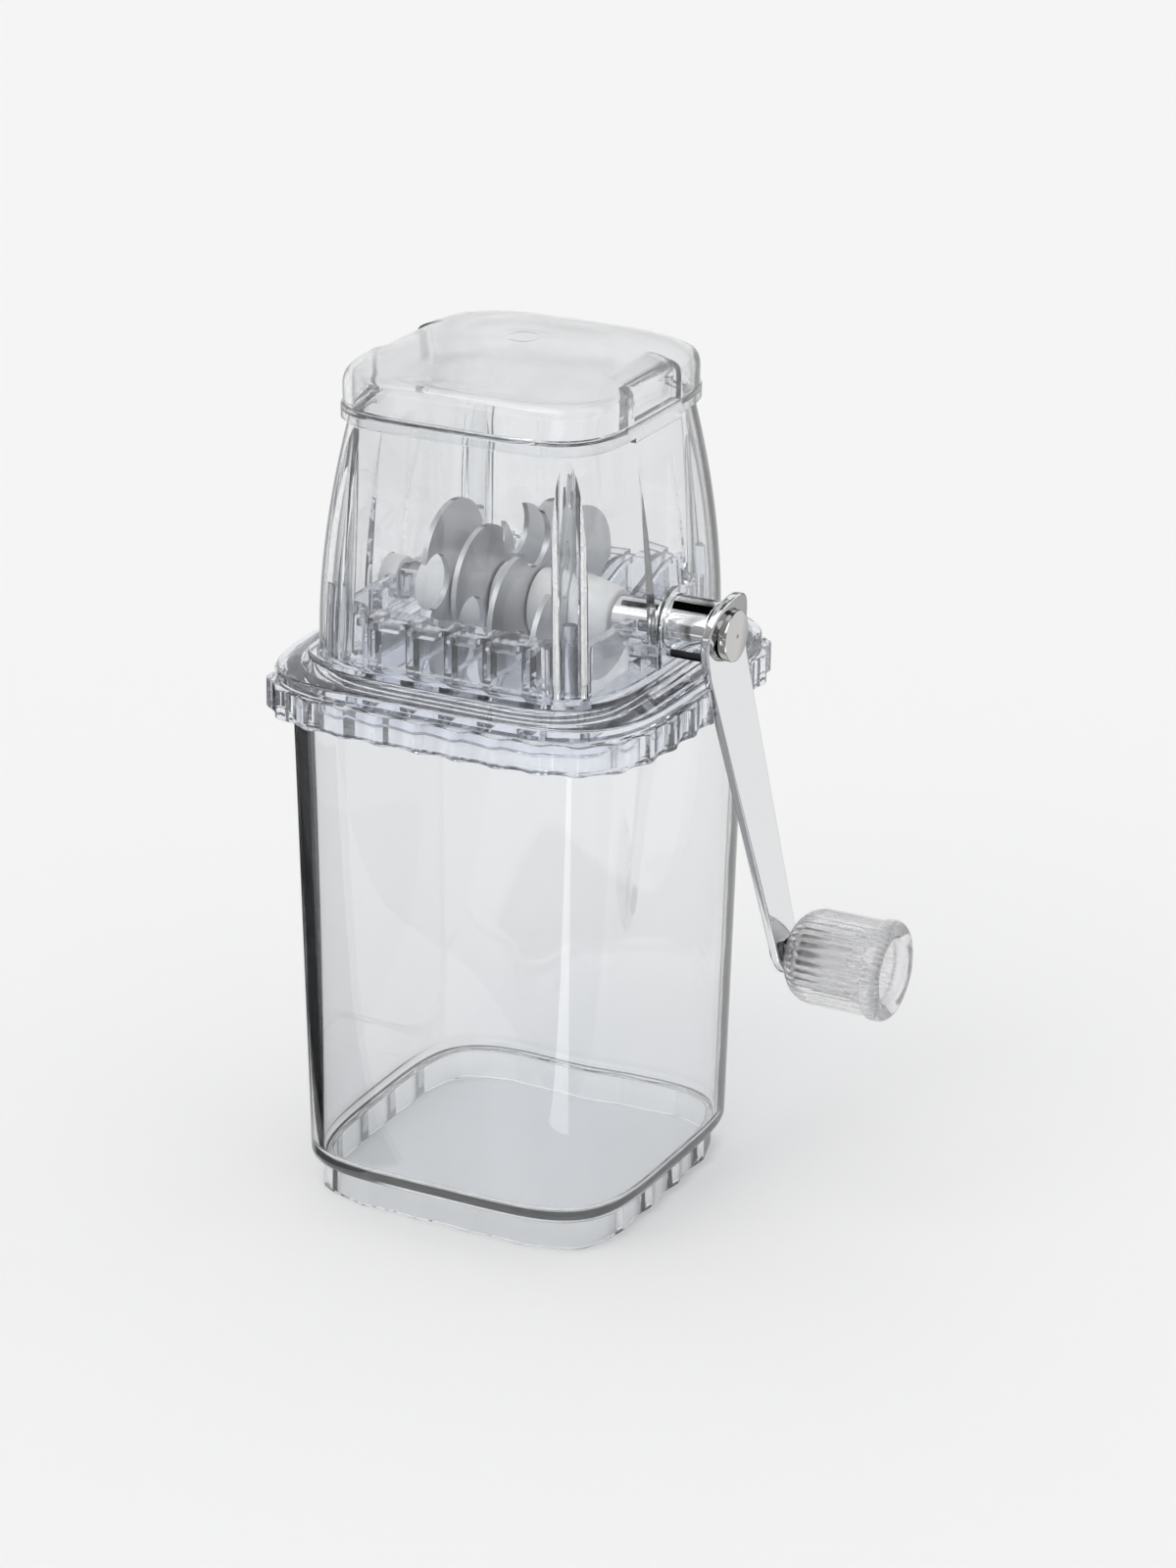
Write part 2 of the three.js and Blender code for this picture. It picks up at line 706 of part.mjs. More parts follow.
// A row of the dome, as [height, half width, roundness], set in by the wall's thickness
function domeInside(dome, place) {
  const [height, half, power] = dome[place];
  const [lowHeight, lowHalf] = dome[Math.max(place - 1, 0)];
  const [highHeight, highHalf] = dome[Math.min(place + 1, dome.length - 1)];
  const slope = Math.hypot(highHeight - lowHeight, lowHalf - highHalf);
  const down = (lidWall * (lowHalf - highHalf)) / slope;
  const inward = (lidWall * (highHeight - lowHeight)) / slope;
  return [height - down, half - inward, power];
}

// Half the lid's outside width at a share of its dome's height
function lidHalfAt(up) {
  const above = lidShares.findIndex(([height]) => height > up);
  const [low, wide] = lidShares[above - 1];
  const [high, narrow] = lidShares[above];
  return (lidHalf - lidLip) * THREE.MathUtils.mapLinear(up, low, high, wide, narrow);
}

// The shaft: a spigot, a square bar for the blades, a round journal, a square for the arm and a stud
function makeDriveShaft() {
  const half = squareWidth / 2;
  const endHalf = armHoleWidth / 2;
  const studEnd = nutStart + nutThickness - nutCap - seatGap;
  return joined(
    rod(spigotRadius, seatGap - bushEnd, -squareStart),
    block(-squareStart, journalStart, -half, half, -half, half),
    rod(journalRadius, journalStart, sleeveEnd),
    block(sleeveEnd, armOuter, -endHalf, endHalf, -endHalf, endHalf),
    rod(studRadius, armOuter, studEnd, smallSides),
  );
}

// A square hole through anything on the shaft
function squareHole(side, fromX, toX) {
  const half = side / 2 + seatGap;
  return block(fromX - overrun, toX + overrun, -half, half, -half, half);
}

// A steel blade with three claws, each a round back with a hollow gullet before it
function makeBlade(stagger) {
  const discs = [rod(bladeHub, 0, bladeThickness)];
  const gullets = [];
  for (let claw = 0; claw < clawCount; claw += 1) {
    const turn = stagger + (claw * 360) / clawCount;
    const lobe = rod(bladeLobe, 0, bladeThickness, bladeSides);
    discs.push(lobe.translate([0, bladeReach - bladeLobe, 0]).rotate([turn, 0, 0]));
    const gullet = rod(bladeGullet, -overrun, bladeThickness + overrun, smallSides);
    gullets.push(gullet.translate([0, gulletOffset, 0]).rotate([turn + gulletTurn, 0, 0]));
  }
  return cut(joined(...discs), ...gullets, squareHole(squareWidth, 0, bladeThickness));
}

function makeSpacer() {
  const length = combPitch - bladeThickness - 2 * seatGap;
  return rod(spacerRadius, 0, length).subtract(squareHole(squareWidth, 0, length));
}

// A tapered hub that clamps the stack of blades
function makeHub() {
  const cone = turned([[0, hubRadius], [hubLip, hubRadius], [hubLength, hubNose]]);
  return solid(loft(cone)).subtract(squareHole(squareWidth, 0, hubLength));
}

function makeTube(outer, inner, length) {
  return solid(loft(turned([[0, outer], [length, outer], [length, inner], [0, inner]]), true));
}

// The arm hangs from the shaft and slants outward below its bend, clear of the collar
function makeCrankArm() {
  const section = (drop, half) => {
    const inner = armInner + armSlope * Math.max(0, drop - armBend);
    const outer = inner + armThickness;
    const edge = Math.min(armChamfer, half / 2);
    return [
      [outer, edge - half],
      [outer, half - edge],
      [outer - edge, half],
      [inner + edge, half],
      [inner, half - edge],
      [inner, edge - half],
      [inner + edge, -half],
      [outer - edge, -half],
    ].map(([x, y]) => new THREE.Vector3(x, y, -drop));
  };
  const widthAt = (drop) => armHead + ((armFoot - armHead) * drop) / armLength;
  const sections = [];
  endTurns.forEach((turn) => {
    sections.push(section(armLength + armFoot * Math.sin(turn), armFoot * Math.cos(turn)));
  });
  sections.push(section(armLength, armFoot));
  sections.push(section(armBend, widthAt(armBend)));
  sections.push(section(0, armHead));
  [...endTurns].reverse().forEach((turn) => {
    sections.push(section(-armHead * Math.sin(turn), armHead * Math.cos(turn)));
  });
  const arm = solid(loft(sections));
  const pinHole = rod(pinRadius + seatGap, armInner, pinFaceOuter + overrun, smallSides);
  return cut(arm, squareHole(armHoleWidth, armInner, armOuter), pinHole.translate([0, 0, -armLength]));
}

function makeCrankNut() {
  const disc = rod(nutRadius, 0, nutThickness, roundSides);
  return disc.subtract(rod(studRadius + seatGap, -overrun, nutThickness - nutCap, smallSides));
}

// The pin is riveted in the arm's slanted end and lies along the shaft's direction
function makeKnobPin() {
  const slant = THREE.MathUtils.radToDeg(Math.atan(armSlope));
  const seat = pinFaceInner - seatGap;
  const disc = rod(pinHead, -pinHeadThickness, 0, smallSides);
  const head = disc.rotate([0, -slant, 0]).translate([seat, 0, 0]);
  const endStart = knobStart + knobFloor + washerThickness + 2 * seatGap;
  const stem = rod(pinRadius, seat - pinHeadThickness / 2, endStart, smallSides);
  return joined(head, stem, rod(pinEnd, endStart, endStart + pinEndThickness, smallSides));
}

// A hollow domed knob, ribbed lengthwise outside and inside, with a thick rolled rim
function makeKnob() {
  const hole = pinRadius + seatGap;
  const nose = knobNoseShare * knobRadius;
  const dome = domeTurns.map((turn) => [
    knobDome * (1 - Math.cos(turn)),
    nose + (knobRadius - nose) * Math.sin(turn),
  ]);
  const rimStart = knobLength - knobRimWidth;
  const round = knobRimWidth * knobRoundShare;
  const profile = [
    [0, nose],
    ...dome,
    [knobDome, knobRadius, true],
    [rimStart - round / 2, knobRadius, true],
    [rimStart, knobRim - round],
    [rimStart + round, knobRim],
    [knobLength - round, knobRim],
    [knobLength, knobRim - round],
    [knobLength, knobBore + round],
    [knobLength - round, knobBore],
    [rimStart, knobBore, true],
    [knobFloor, knobBore - round, true],
    [knobFloor, hole],
    [0, hole],
  ];
  const sides = knobRibs * 2;
  return solid(loft(turned(profile, sides, (step) => (step % 2 ? -knobRib : knobRib)), true));
}

function mesh(name, body, finish) {
  const made = new THREE.Mesh(shape(body), new THREE.MeshStandardMaterial(finish));
  made.name = name;
  return made;
}

// The knob turns on its pin at the arm's lower end
function makeKnobGroup() {
  const group = new THREE.Group();
  group.position.z = -armLength;
  const knob = mesh("knob", makeKnob(), smokePlastic);
  knob.position.x = knobStart;
  const washer = mesh("knob_washer", makeTube(washerRadius, pinRadius + seatGap, washerThickness), steel);
  washer.position.x = knobStart + knobFloor + seatGap;
  group.add(mesh("knob_pin", makeKnobPin(), chrome), knob, washer);
  return group;
}

// The shaft line, in its own frame with the axis along X
function makeShaftLine() {
  const group = new THREE.Group();
  group.position.z = shaftHeight;
  group.add(mesh("drive_shaft", makeDriveShaft(), chrome));
  for (let blade = 0; blade < finCount - 1; blade += 1) {
    const made = mesh(`blade_${blade + 1}`, makeBlade(blade * bladeStagger), steel);
    made.position.x = blade * combPitch - lastBlade - bladeThickness / 2;
    group.add(made);
  }
  for (let gap = 0; gap < finCount - 2; gap += 1) {
    const made = mesh(`spacer_${gap + 1}`, makeSpacer(), whitePlastic);
    made.position.x = gap * combPitch - lastBlade + bladeThickness / 2 + seatGap;
    group.add(made);
  }
  const hubRight = mesh("hub_right", makeHub(), whitePlastic);
  hubRight.position.x = hubStart;
  const hubLeft = mesh("hub_left", makeHub(), whitePlastic);
  hubLeft.rotation.z = Math.PI;
  hubLeft.position.x = -hubStart;
  const bush = makeTube(bushRadius, spigotRadius + seatGap, bushEnd - bushInner);
  const leftBush = mesh("left_bush", bush, whitePlastic);
  leftBush.position.x = -bushEnd;
  const rightBush = mesh("right_bush", makeTube(sleeveRadius, shaftBore, ringThickness), clearPlastic);
  rightBush.position.x = ringStart;
  const sleeveLength = sleeveEnd - sleeveStart;
  const sleeve = mesh("crank_sleeve", makeTube(sleeveRadius, shaftBore, sleeveLength), chrome);
  sleeve.position.x = sleeveStart;
  const nut = mesh("crank_nut", makeCrankNut(), steel);
  nut.position.x = nutStart;
  group.add(hubRight, hubLeft, leftBush, rightBush, sleeve, nut);
  group.add(mesh("crank_arm", makeCrankArm(), chrome), makeKnobGroup());
  return group;
}

const iceCrusher = new THREE.Group();
iceCrusher.add(
  mesh("container", makeContainer(), clearPlastic),
  mesh("crusher_base", makeCrusherBase(), bluePlastic),
  mesh("hopper", makeHopper(), clearPlastic),
  mesh("lid", makeLid(), clearPlastic),
  makeShaftLine(),
);

export default iceCrusher;
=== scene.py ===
"""The looks of a hand cranked ice crusher in clear plastic.

A square container stands under a fluted collar, which carries a crushing comb, a hopper with a
lid and a shaft of steel blades. A chromed crank with a ribbed knob turns the shaft.
Meshes are modelled in millimetres in the frame's own axes and scaled to metres when done.
"""

import logging
import math
from bisect import bisect_right
from collections.abc import Callable
from dataclasses import dataclass, field
from enum import Enum
from functools import lru_cache
from typing import NamedTuple

import bmesh
import bpy
from mathutils import Matrix, Vector


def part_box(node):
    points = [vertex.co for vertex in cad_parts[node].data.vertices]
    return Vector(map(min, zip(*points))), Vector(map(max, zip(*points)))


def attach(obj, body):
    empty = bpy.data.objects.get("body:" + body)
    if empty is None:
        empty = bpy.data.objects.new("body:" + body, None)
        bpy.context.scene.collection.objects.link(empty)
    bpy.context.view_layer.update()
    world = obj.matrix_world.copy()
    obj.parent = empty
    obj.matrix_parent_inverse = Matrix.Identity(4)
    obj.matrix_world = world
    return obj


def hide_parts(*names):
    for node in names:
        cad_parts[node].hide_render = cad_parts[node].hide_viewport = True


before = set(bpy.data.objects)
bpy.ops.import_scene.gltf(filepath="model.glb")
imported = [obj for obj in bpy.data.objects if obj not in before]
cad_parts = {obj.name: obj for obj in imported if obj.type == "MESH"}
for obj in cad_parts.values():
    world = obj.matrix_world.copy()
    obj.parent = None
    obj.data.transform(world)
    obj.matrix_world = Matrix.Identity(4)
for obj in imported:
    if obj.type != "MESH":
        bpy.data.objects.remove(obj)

LOG = logging.getLogger("ice_crusher")
MM = 0.001  # metres in a millimetre
VIEW_TURN = 27.206  # the camera's turn round the object from its front, in degrees
SHAFT_AXIS = 175.0  # height of the shaft's axis
PLATE_RISE = 8.0  # from the collar's underside to the seat of the hopper
CUT_OVERRUN = 2.0  # how far a cutter runs past what it cuts
PART_OVERLAP = 0.5  # how far joined lengths of one piece run into each other
SEAT_GAP = 0.3  # between pieces that rest on or fill each other
MERGE_REACH = 1e-4  # points closer than this become one
SHARP_ANGLE = math.radians(32)
EDGE_BITE = 0.3  # of an edge's rounding, how far its middle point is set in
LYING_SLOPES = (0.5, 0.9)  # the normal's height where a surface starts and ends to count as lying

Solid = bmesh.types.BMesh
Socket = bpy.types.NodeSocket
Triple = tuple[float, float, float]
Line = list[tuple[float, float]]
Wave = Callable[[float], float]


class Body(Enum):
    """The bodies that pieces ride on."""

    CONTAINER = "container"
    HOPPER = "hopper"
    LID = "lid"
    CRANK = "crank"
    KNOB = "knob"


class Cut(Enum):
    """How one solid is combined with another."""

    JOIN = "UNION"
    REMOVE = "DIFFERENCE"
    KEEP = "INTERSECT"


class Side(Enum):
    """The two sides of the object across a plane through its axis."""

    FAR = -1
    NEAR = 1


def linear(colour: str) -> tuple[float, float, float, float]:
    """Turn an sRGB hex colour into linear values.

    Args:
        colour: Six hex digits, such as "F5F5F5".

    Returns:
        Red, green, blue and an alpha of 1.
    """
    channels = (int(colour[place : place + 2], 16) / 255 for place in (0, 2, 4))
    red, green, blue = (
        value / 12.92 if value <= 0.04045 else ((value + 0.055) / 1.055) ** 2.4
        for value in channels
    )
    return red, green, blue, 1.0


def per_mm(size: float) -> float:
    """Give the texture scale, per metre, of a pattern with features of a size in millimetres."""
    return 1 / (size * MM)


class Net:
    """A shader's node tree while it is laid."""

    def __init__(self, tree: bpy.types.NodeTree) -> None:
        """Take a tree and empty it."""
        tree.nodes.clear()
        self.tree = tree

    def add(
        self,
        kind: str,
        settings: dict | None = None,
        links: dict | None = None,
        output: int | str = 0,
    ) -> Socket | None:
        """Add a shader node with its settings and links.

        Args:
            kind: The node's type, without the words that all shader nodes start with.
            settings: Values by input name, input number or property name.
            links: Output sockets by the input name or number that they feed.
            output: The output that is given back.

        Returns:
            That output, or None for a node that has none.
        """
        made = self.tree.nodes.new(f"ShaderNode{kind}")
        for key, value in (settings or {}).items():
            if isinstance(key, int) or key in made.inputs:
                made.inputs[key].default_value = value
            else:
                setattr(made, key, value)
        for key, source in (links or {}).items():
            self.tree.links.new(source, made.inputs[key])
        return made.outputs[output] if made.outputs else None

    def noise(
        self, place: Socket, scale: float, detail: float = 2.0, roughness: float = 0.5
    ) -> Socket:
        """Lay noise over coordinates, and give its strength."""
        settings = {"Scale": scale, "Detail": detail, "Roughness": roughness}
        return self.add("TexNoise", settings, {"Vector": place})

    def remap(
        self, value: Socket, start: float, end: float, low: float = 0.0, high: float = 1.0
    ) -> Socket:
        """Map a value from start and end to low and high, held between them."""
        settings = {"From Min": start, "From Max": end, "To Min": low, "To Max": high}
        return self.add("MapRange", settings, {"Value": value})

    def maths(self, operation: str, *values: Socket | float) -> Socket:
        """Work out one value from sockets and numbers.

        Args:
            operation: The name of the Math node's operation.
            values: What it works on, in order.

        Returns:
            The result.
        """
        links = {at: value for at, value in enumerate(values) if isinstance(value, Socket)}
        numbers = {at: value for at, value in enumerate(values) if at not in links}
        return self.add("Math", {"operation": operation, **numbers}, links)

    def bump(self, height: Socket, strength: float, depth: float) -> Socket:
        """Lay relief of a depth in millimetres, and give the bent normal."""
        return self.add("Bump", {"Strength": strength, "Distance": depth * MM}, {"Height": height})

    def blend(self, share: Socket, first: Socket, second: Socket) -> Socket:
        """Mix two shaders by a share."""
        return self.add("MixShader", links={0: share, 1: first, 2: second})

    def painted_edge_shade(
        self, colour: str, edge: str, turned: tuple[float, float], upright_only: bool = True
    ) -> Socket:
        """Paint shade into a colour where a surface turns away from the eye.

        Args:
            colour: The colour that faces the eye.
            edge: The colour of the painted shade at the edge.
            turned: How far away, from 0 to 1, the painted shade starts and ends.
            upright_only: True where surfaces that lie flat keep their colour.

        Returns:
            The colour's output.
        """
        # Painted shade: the edge colour's share grows as the surface turns away from the eye.
        share = self.remap(self.add("LayerWeight", {"Blend": 0.5}, output="Facing"), *turned)
        if upright_only:
            normal = self.add("NewGeometry", output="Normal")
            height = self.add("SeparateXYZ", links={"Vector": normal}, output="Z")
            upright = self.remap(self.maths("ABSOLUTE", height), *LYING_SLOPES, 1.0, 0.0)
            share = self.maths("MULTIPLY", share, upright)
        colours = {"Color1": linear(colour), "Color2": linear(edge)}
        return self.add("MixRGB", colours, {"Fac": share})


@dataclass(frozen=True)
class Finish:
    """A finish: what the surface is made of and how it was made."""

    name: str
    slot: str = ""

    def build(self) -> bpy.types.Material:
        """Make the material once, and give the same one afterwards.

        Returns:
            The finish's material.
        """
        known = bpy.data.materials.get(self.name)
        if known is not None:
            return known
        material = bpy.data.materials.new(self.name)
        material.use_nodes = True
        net = Net(material.node_tree)
        net.add("OutputMaterial", links={"Surface": self.surface(net)})
        return material

    def surface(self, net: Net) -> Socket:
        """Lay the finish's nodes and give its shader."""
        raise NotImplementedError


@dataclass(frozen=True)
class HazeZone:
    """Where a clear piece is hazier: a distance from a point or an axis, in metres."""

    axes: Triple
    centre: Triple
    start: float
    end: float
    haze: float

    def lay(self, net: Net, place: Socket) -> Socket:
        """Lay the nodes of the zone.

        Args:
            net: The material's node tree.
            place: The object coordinates.

        Returns:
            The zone's haze.
        """
        flat = net.add("VectorMath", {"operation": "MULTIPLY", 1: self.axes}, {0: place})
        reach = net.add("VectorMath", {"operation": "DISTANCE", 1: self.centre}, {0: flat}, "Value")
        return net.remap(reach, self.start, self.end, high=self.haze)


@dataclass(frozen=True)
class ClearPlastic(Finish):
    """Clear moulded plastic: bright walls with dark edges, partly refracted and partly painted
    shade, and a faint ripple.

    Lamps shine through it, so that what stands inside is lit as in a pale studio.
    """

    tint: str = "FAFBFC"
    # The edge colour is painted shade, laid where the surface turns away from the eye.
    edge: str = "23252C"
    painted_shade_turned: tuple[float, float] = (0.64, 0.84)
    straight: float = 0.06  # the share of light that passes without being bent
    ior: float = 1.57
    haze: float = 0.02
    clean_share: float = 0.3  # of the haze, where the plastic is least scuffed
    ripple: float = 24.0
    ripple_depth: float = 0.06
    scuff: float = 5.0
    scuff_range: tuple[float, float] = (0.4, 0.75)
    zone: HazeZone | None = None

    def surface(self, net: Net) -> Socket:
        """Lay a refracting shader with a slow mould ripple, a faint uneven haze and shade painted
        at its edges.

        Args:
            net: The material's node tree.

        Returns:
            The finish's shader.
        """
        place = net.add("TexCoord", output="Object")
        ripple = net.noise(place, per_mm(self.ripple), 1.0, 0.4)
        scuff = net.noise(place, per_mm(self.scuff), 3.0)
        rough = net.remap(scuff, *self.scuff_range, self.haze * self.clean_share, self.haze)
        if self.zone:
            rough = net.maths("ADD", rough, self.zone.lay(net, place))
        # Painted shade: the tint darkens to the edge colour where the wall turns away from the eye.
        colour = net.painted_edge_shade(self.tint, self.edge, self.painted_shade_turned)
        relief = net.bump(ripple, 1.0, self.ripple_depth)
        plastic = net.add(
            "BsdfPrincipled",
            {"Transmission Weight": 1.0, "IOR": self.ior},
            {"Base Color": colour, "Roughness": rough, "Normal": relief},
        )
        unbent = net.add("BsdfTransparent", links={"Color": colour})
        shadow = net.add("LightPath", output="Is Shadow Ray")
        return net.blend(net.maths("MAXIMUM", shadow, self.straight), plastic, unbent)


@dataclass(frozen=True)
class PolishedMetal(Finish):
    """Chrome plate over steel: a mirror with hairline wipe marks and shade painted at its edges."""

    colour: str = "E9EAEB"
    # The edge colour is painted shade, laid where the metal turns away from the eye.
    edge: str = "2C2D30"
    painted_shade_turned: tuple[float, float] = (0.61, 0.7)
    roughness: float = 0.05
    wear: float = 0.05
    grain: Triple = (6.0, 0.5, 6.0)
    mark_range: tuple[float, float] = (0.35, 0.75)
    mark_strength: float = 0.25
    mark_depth: float = 0.008

    def surface(self, net: Net) -> Socket:
        """Lay a metal whose gloss is broken by fine marks of the grain's size, with shade painted
        into its colour at its edges.

        Args:
            net: The material's node tree.

        Returns:
            The finish's shader.
        """
        place = net.add("TexCoord", output="Object")
        scale = tuple(per_mm(size) for size in self.grain)
        stretched = net.add("Mapping", {"Scale": scale}, {"Vector": place})
        marks = net.noise(stretched, 1.0, 4.0, 0.6)
        gloss = net.remap(marks, *self.mark_range, self.roughness, self.roughness + self.wear)
        relief = net.bump(marks, self.mark_strength, self.mark_depth)
        # Painted shade: the colour darkens to the edge colour on every surface that turns away.
        colour = net.painted_edge_shade(self.colour, self.edge, self.painted_shade_turned, upright_only=False)
        return net.add(
            "BsdfPrincipled",
            {"Metallic": 1.0},
            {"Base Color": colour, "Roughness": gloss, "Normal": relief},
        )


@dataclass(frozen=True)
class MouldedPlastic(Finish):
    """White moulded plastic: satin, with the fine grain that a spark-eroded mould leaves."""

    colour: str = "EFEFEE"
    roughness: float = 0.38
    uneven: float = 0.06
    grain: float = 0.6
    grain_strength: float = 0.3
    grain_depth: float = 0.03
    flow: float = 14.0

    def surface(self, net: Net) -> Socket:
        """Lay an opaque satin plastic with fine grain and faint flow marks.

        Args:
            net: The material's node tree.

        Returns:
            The finish's shader.
        """
        place = net.add("TexCoord", output="Object")
        grain = net.noise(place, per_mm(self.grain), 3.0)
        flow = net.noise(place, per_mm(self.flow))
        low, high = self.roughness - self.uneven, self.roughness + self.uneven
        relief = net.bump(grain, self.grain_strength, self.grain_depth)
        return net.add(
            "BsdfPrincipled",
            {"Base Color": linear(self.colour), "IOR": 1.5},
            {"Roughness": net.remap(flow, 0.0, 1.0, low, high), "Normal": relief},
        )


@dataclass(frozen=True)
class StudioSheet(Finish):
    """A plain sheet of the studio: matt paper, or a lamp where it glows."""

    colour: str = "F5F5F5"
    glow: float = 0.0

    def surface(self, net: Net) -> Socket:
        """Lay an even glow, or else an even matt colour.

        Args:
            net: The material's node tree.

        Returns:
            The finish's shader.
        """
        if self.glow:
            return net.add("Emission", {"Strength": self.glow})
        return net.add("BsdfDiffuse", {"Color": linear(self.colour)})


# Hopper and clear bush: pale faces between dark lines of painted shade at the edges
CLEAR = ClearPlastic("clear_styrene_acrylic_moulded", "clear_plastic", painted_shade_turned=(0.6, 0.74))
# Container: polished walls, with black shade painted only where they turn right away from the eye
CLEAR_WALL = ClearPlastic(
    "clear_styrene_acrylic_polished",
    "clear_plastic",
    edge="050507",
    painted_shade_turned=(0.72, 0.8),
    straight=0.03,
)
# Lid: clear sides and a top that wiping has left slightly hazy
CLEAR_LID = ClearPlastic(
    "clear_styrene_acrylic_wiped",
    "clear_plastic",
    straight=0.08,
    zone=HazeZone(axes=(0, 0, 1), centre=(0, 0, 0), start=0.239, end=0.247, haze=0.08),
)
# Collar and comb: a thick section with a faint blue tint, and blue-grey shade painted into its
# edges
CLEAR_THICK = ClearPlastic(
    "clear_styrene_acrylic_thick_section",
    "blue_clear_plastic",
    tint="F8FAFF",
    edge="444D62",
    painted_shade_turned=(0.62, 0.79),
    straight=0.06,
)
# Knob: grey lines of painted shade down its ribs, and a frosted bore
CLEAR_KNOB = ClearPlastic(
    "clear_acrylic_ribbed",
    "knob_plastic",
    tint="F0F0F1",
    edge="55555A",
    straight=0.1,
    ripple=12.0,
    ripple_depth=0.0,
    zone=HazeZone(axes=(0, 1, 1), centre=(0, 0, 0.0853), start=0.0097, end=0.0093, haze=0.4),
)
# Shaft, sleeve and arm: a mirror with sharp dark bands and fine wipe marks
CHROME = PolishedMetal("chrome_plated_steel", "chrome")
# Blades: dull grey sheet with the marks of rolling
BLADE_STEEL = PolishedMetal(
    "stainless_steel_stamped", "steel", colour="C6C7C9", roughness=0.3, grain=(8.0, 0.8, 14.0)
)
# Nut and washer: bright, with the fine lines of turning
TURNED_STEEL = PolishedMetal(
    "stainless_steel_turned",
    "steel",
    colour="C9C8C6",
    roughness=0.08,
    wear=0.08,
    grain=(9.0, 0.35, 7.0),
)
# Pin: a colour darker than the arm's, painting in dark reflections; rubbed smooth
PIN_STEEL = PolishedMetal("steel_pin_painted_dark_reflections", "chrome", colour="77767A", roughness=0.12)
# Spacers, hubs and left bush: opaque satin white
WHITE = MouldedPlastic("white_acetal_moulded", "white_plastic")


class Ring(NamedTuple):
    """One outline of a loft: its height, half width, squareness and inset wave."""

    height: float
    half: float
    power: float
    wave: Wave | None = None


def rings(power: float, line: Line, wave: Wave | None = None) -> list[Ring]:
    """Give rings of one squareness up a profile of points as (out, up)."""
    return [Ring(up, out, power, wave) for out, up in line]


@lru_cache(maxsize=None)
def unit_outline(power: float, columns: int) -> tuple[tuple[float, float, float, float], ...]:
    """Sample a rounded square of half width 1 at even steps round its edge.

    Args:
        power: Its squareness, from 2 for a circle upwards.
        columns: How many points.

    Returns:
        For each point its x and y, and the inward direction there.
    """
    fine = columns * 8
    path = []
    for step in range(fine + 1):
        turn = 2 * math.pi * step / fine
        ways = math.cos(turn), math.sin(turn)
        path.append([math.copysign(abs(way) ** (2 / power), way) for way in ways])
    lengths = [0.0]
    for (x0, y0), (x1, y1) in zip(path, path[1:]):
        lengths.append(lengths[-1] + math.hypot(x1 - x0, y1 - y0))
    sampled = []
    for column in range(columns):
        reach = lengths[-1] * column / columns
        after = min(bisect_right(lengths, reach), fine)
        share = (reach - lengths[after - 1]) / (lengths[after] - lengths[after - 1])
        x, y = (start + share * (end - start) for start, end in zip(path[after - 1], path[after]))
        steep_x = math.copysign(abs(x) ** (power - 1), x)
        steep_y = math.copysign(abs(y) ** (power - 1), y)
        size = math.hypot(steep_x, steep_y)
        sampled.append((x, y, -steep_x / size, -steep_y / size))
    return tuple(sampled)


def ring_points(ring: Ring, columns: int) -> list[Vector]:
    """Work out a ring's points.

    Args:
        ring: The ring.
        columns: How many points it has.

    Returns:
        The points, from +X round towards +Y.
    """
    points = []
    for column, (x, y, in_x, in_y) in enumerate(unit_outline(ring.power, columns)):
        inset = ring.wave(column / columns) if ring.wave else 0.0
        out_x, out_y = ring.half * x + inset * in_x, ring.half * y + inset * in_y
        points.append(Vector((out_x, out_y, ring.height)))
    return points


def arc(centre: tuple[float, float], radius: float, start: float, end: float, steps: int) -> Line:
    """Give points on an arc of a profile.

    Args:
        centre: The arc's centre, as (out, up).
        radius: Its radius.
        start: The angle of its first point, in degrees from outwards towards up.
        end: The angle of its last point.
        steps: How many steps it takes.

    Returns:
        Points as (out, up).
    """
    out, up = centre
    turns = [math.radians(start + (end - start) * step / steps) for step in range(steps + 1)]
    return [(out + radius * math.cos(turn), up + radius * math.sin(turn)) for turn in turns]


def smoothed(rows: tuple, steps: int) -> list[tuple[float, ...]]:
    """Pass a smooth curve through rows of values.

    Args:
        rows: The rows, each a point of the curve.
        steps: How many steps it takes from row to row.

    Returns:
        The finer rows.
    """
    finer = []
    for place in range(len(rows) - 1):
        near = [rows[min(max(place + shift, 0), len(rows) - 1)] for shift in (-1, 0, 1, 2)]
        for step in range(steps):
            t = step / steps
            row = []
            for a, b, c, d in zip(*near):
                bend, twist = 2 * a - 5 * b + 4 * c - d, 3 * b - a - 3 * c + d
                row.append(0.5 * (2 * b + (c - a) * t + bend * t * t + twist * t**3))
            finer.append(tuple(row))
    return finer + [tuple(rows[-1])]


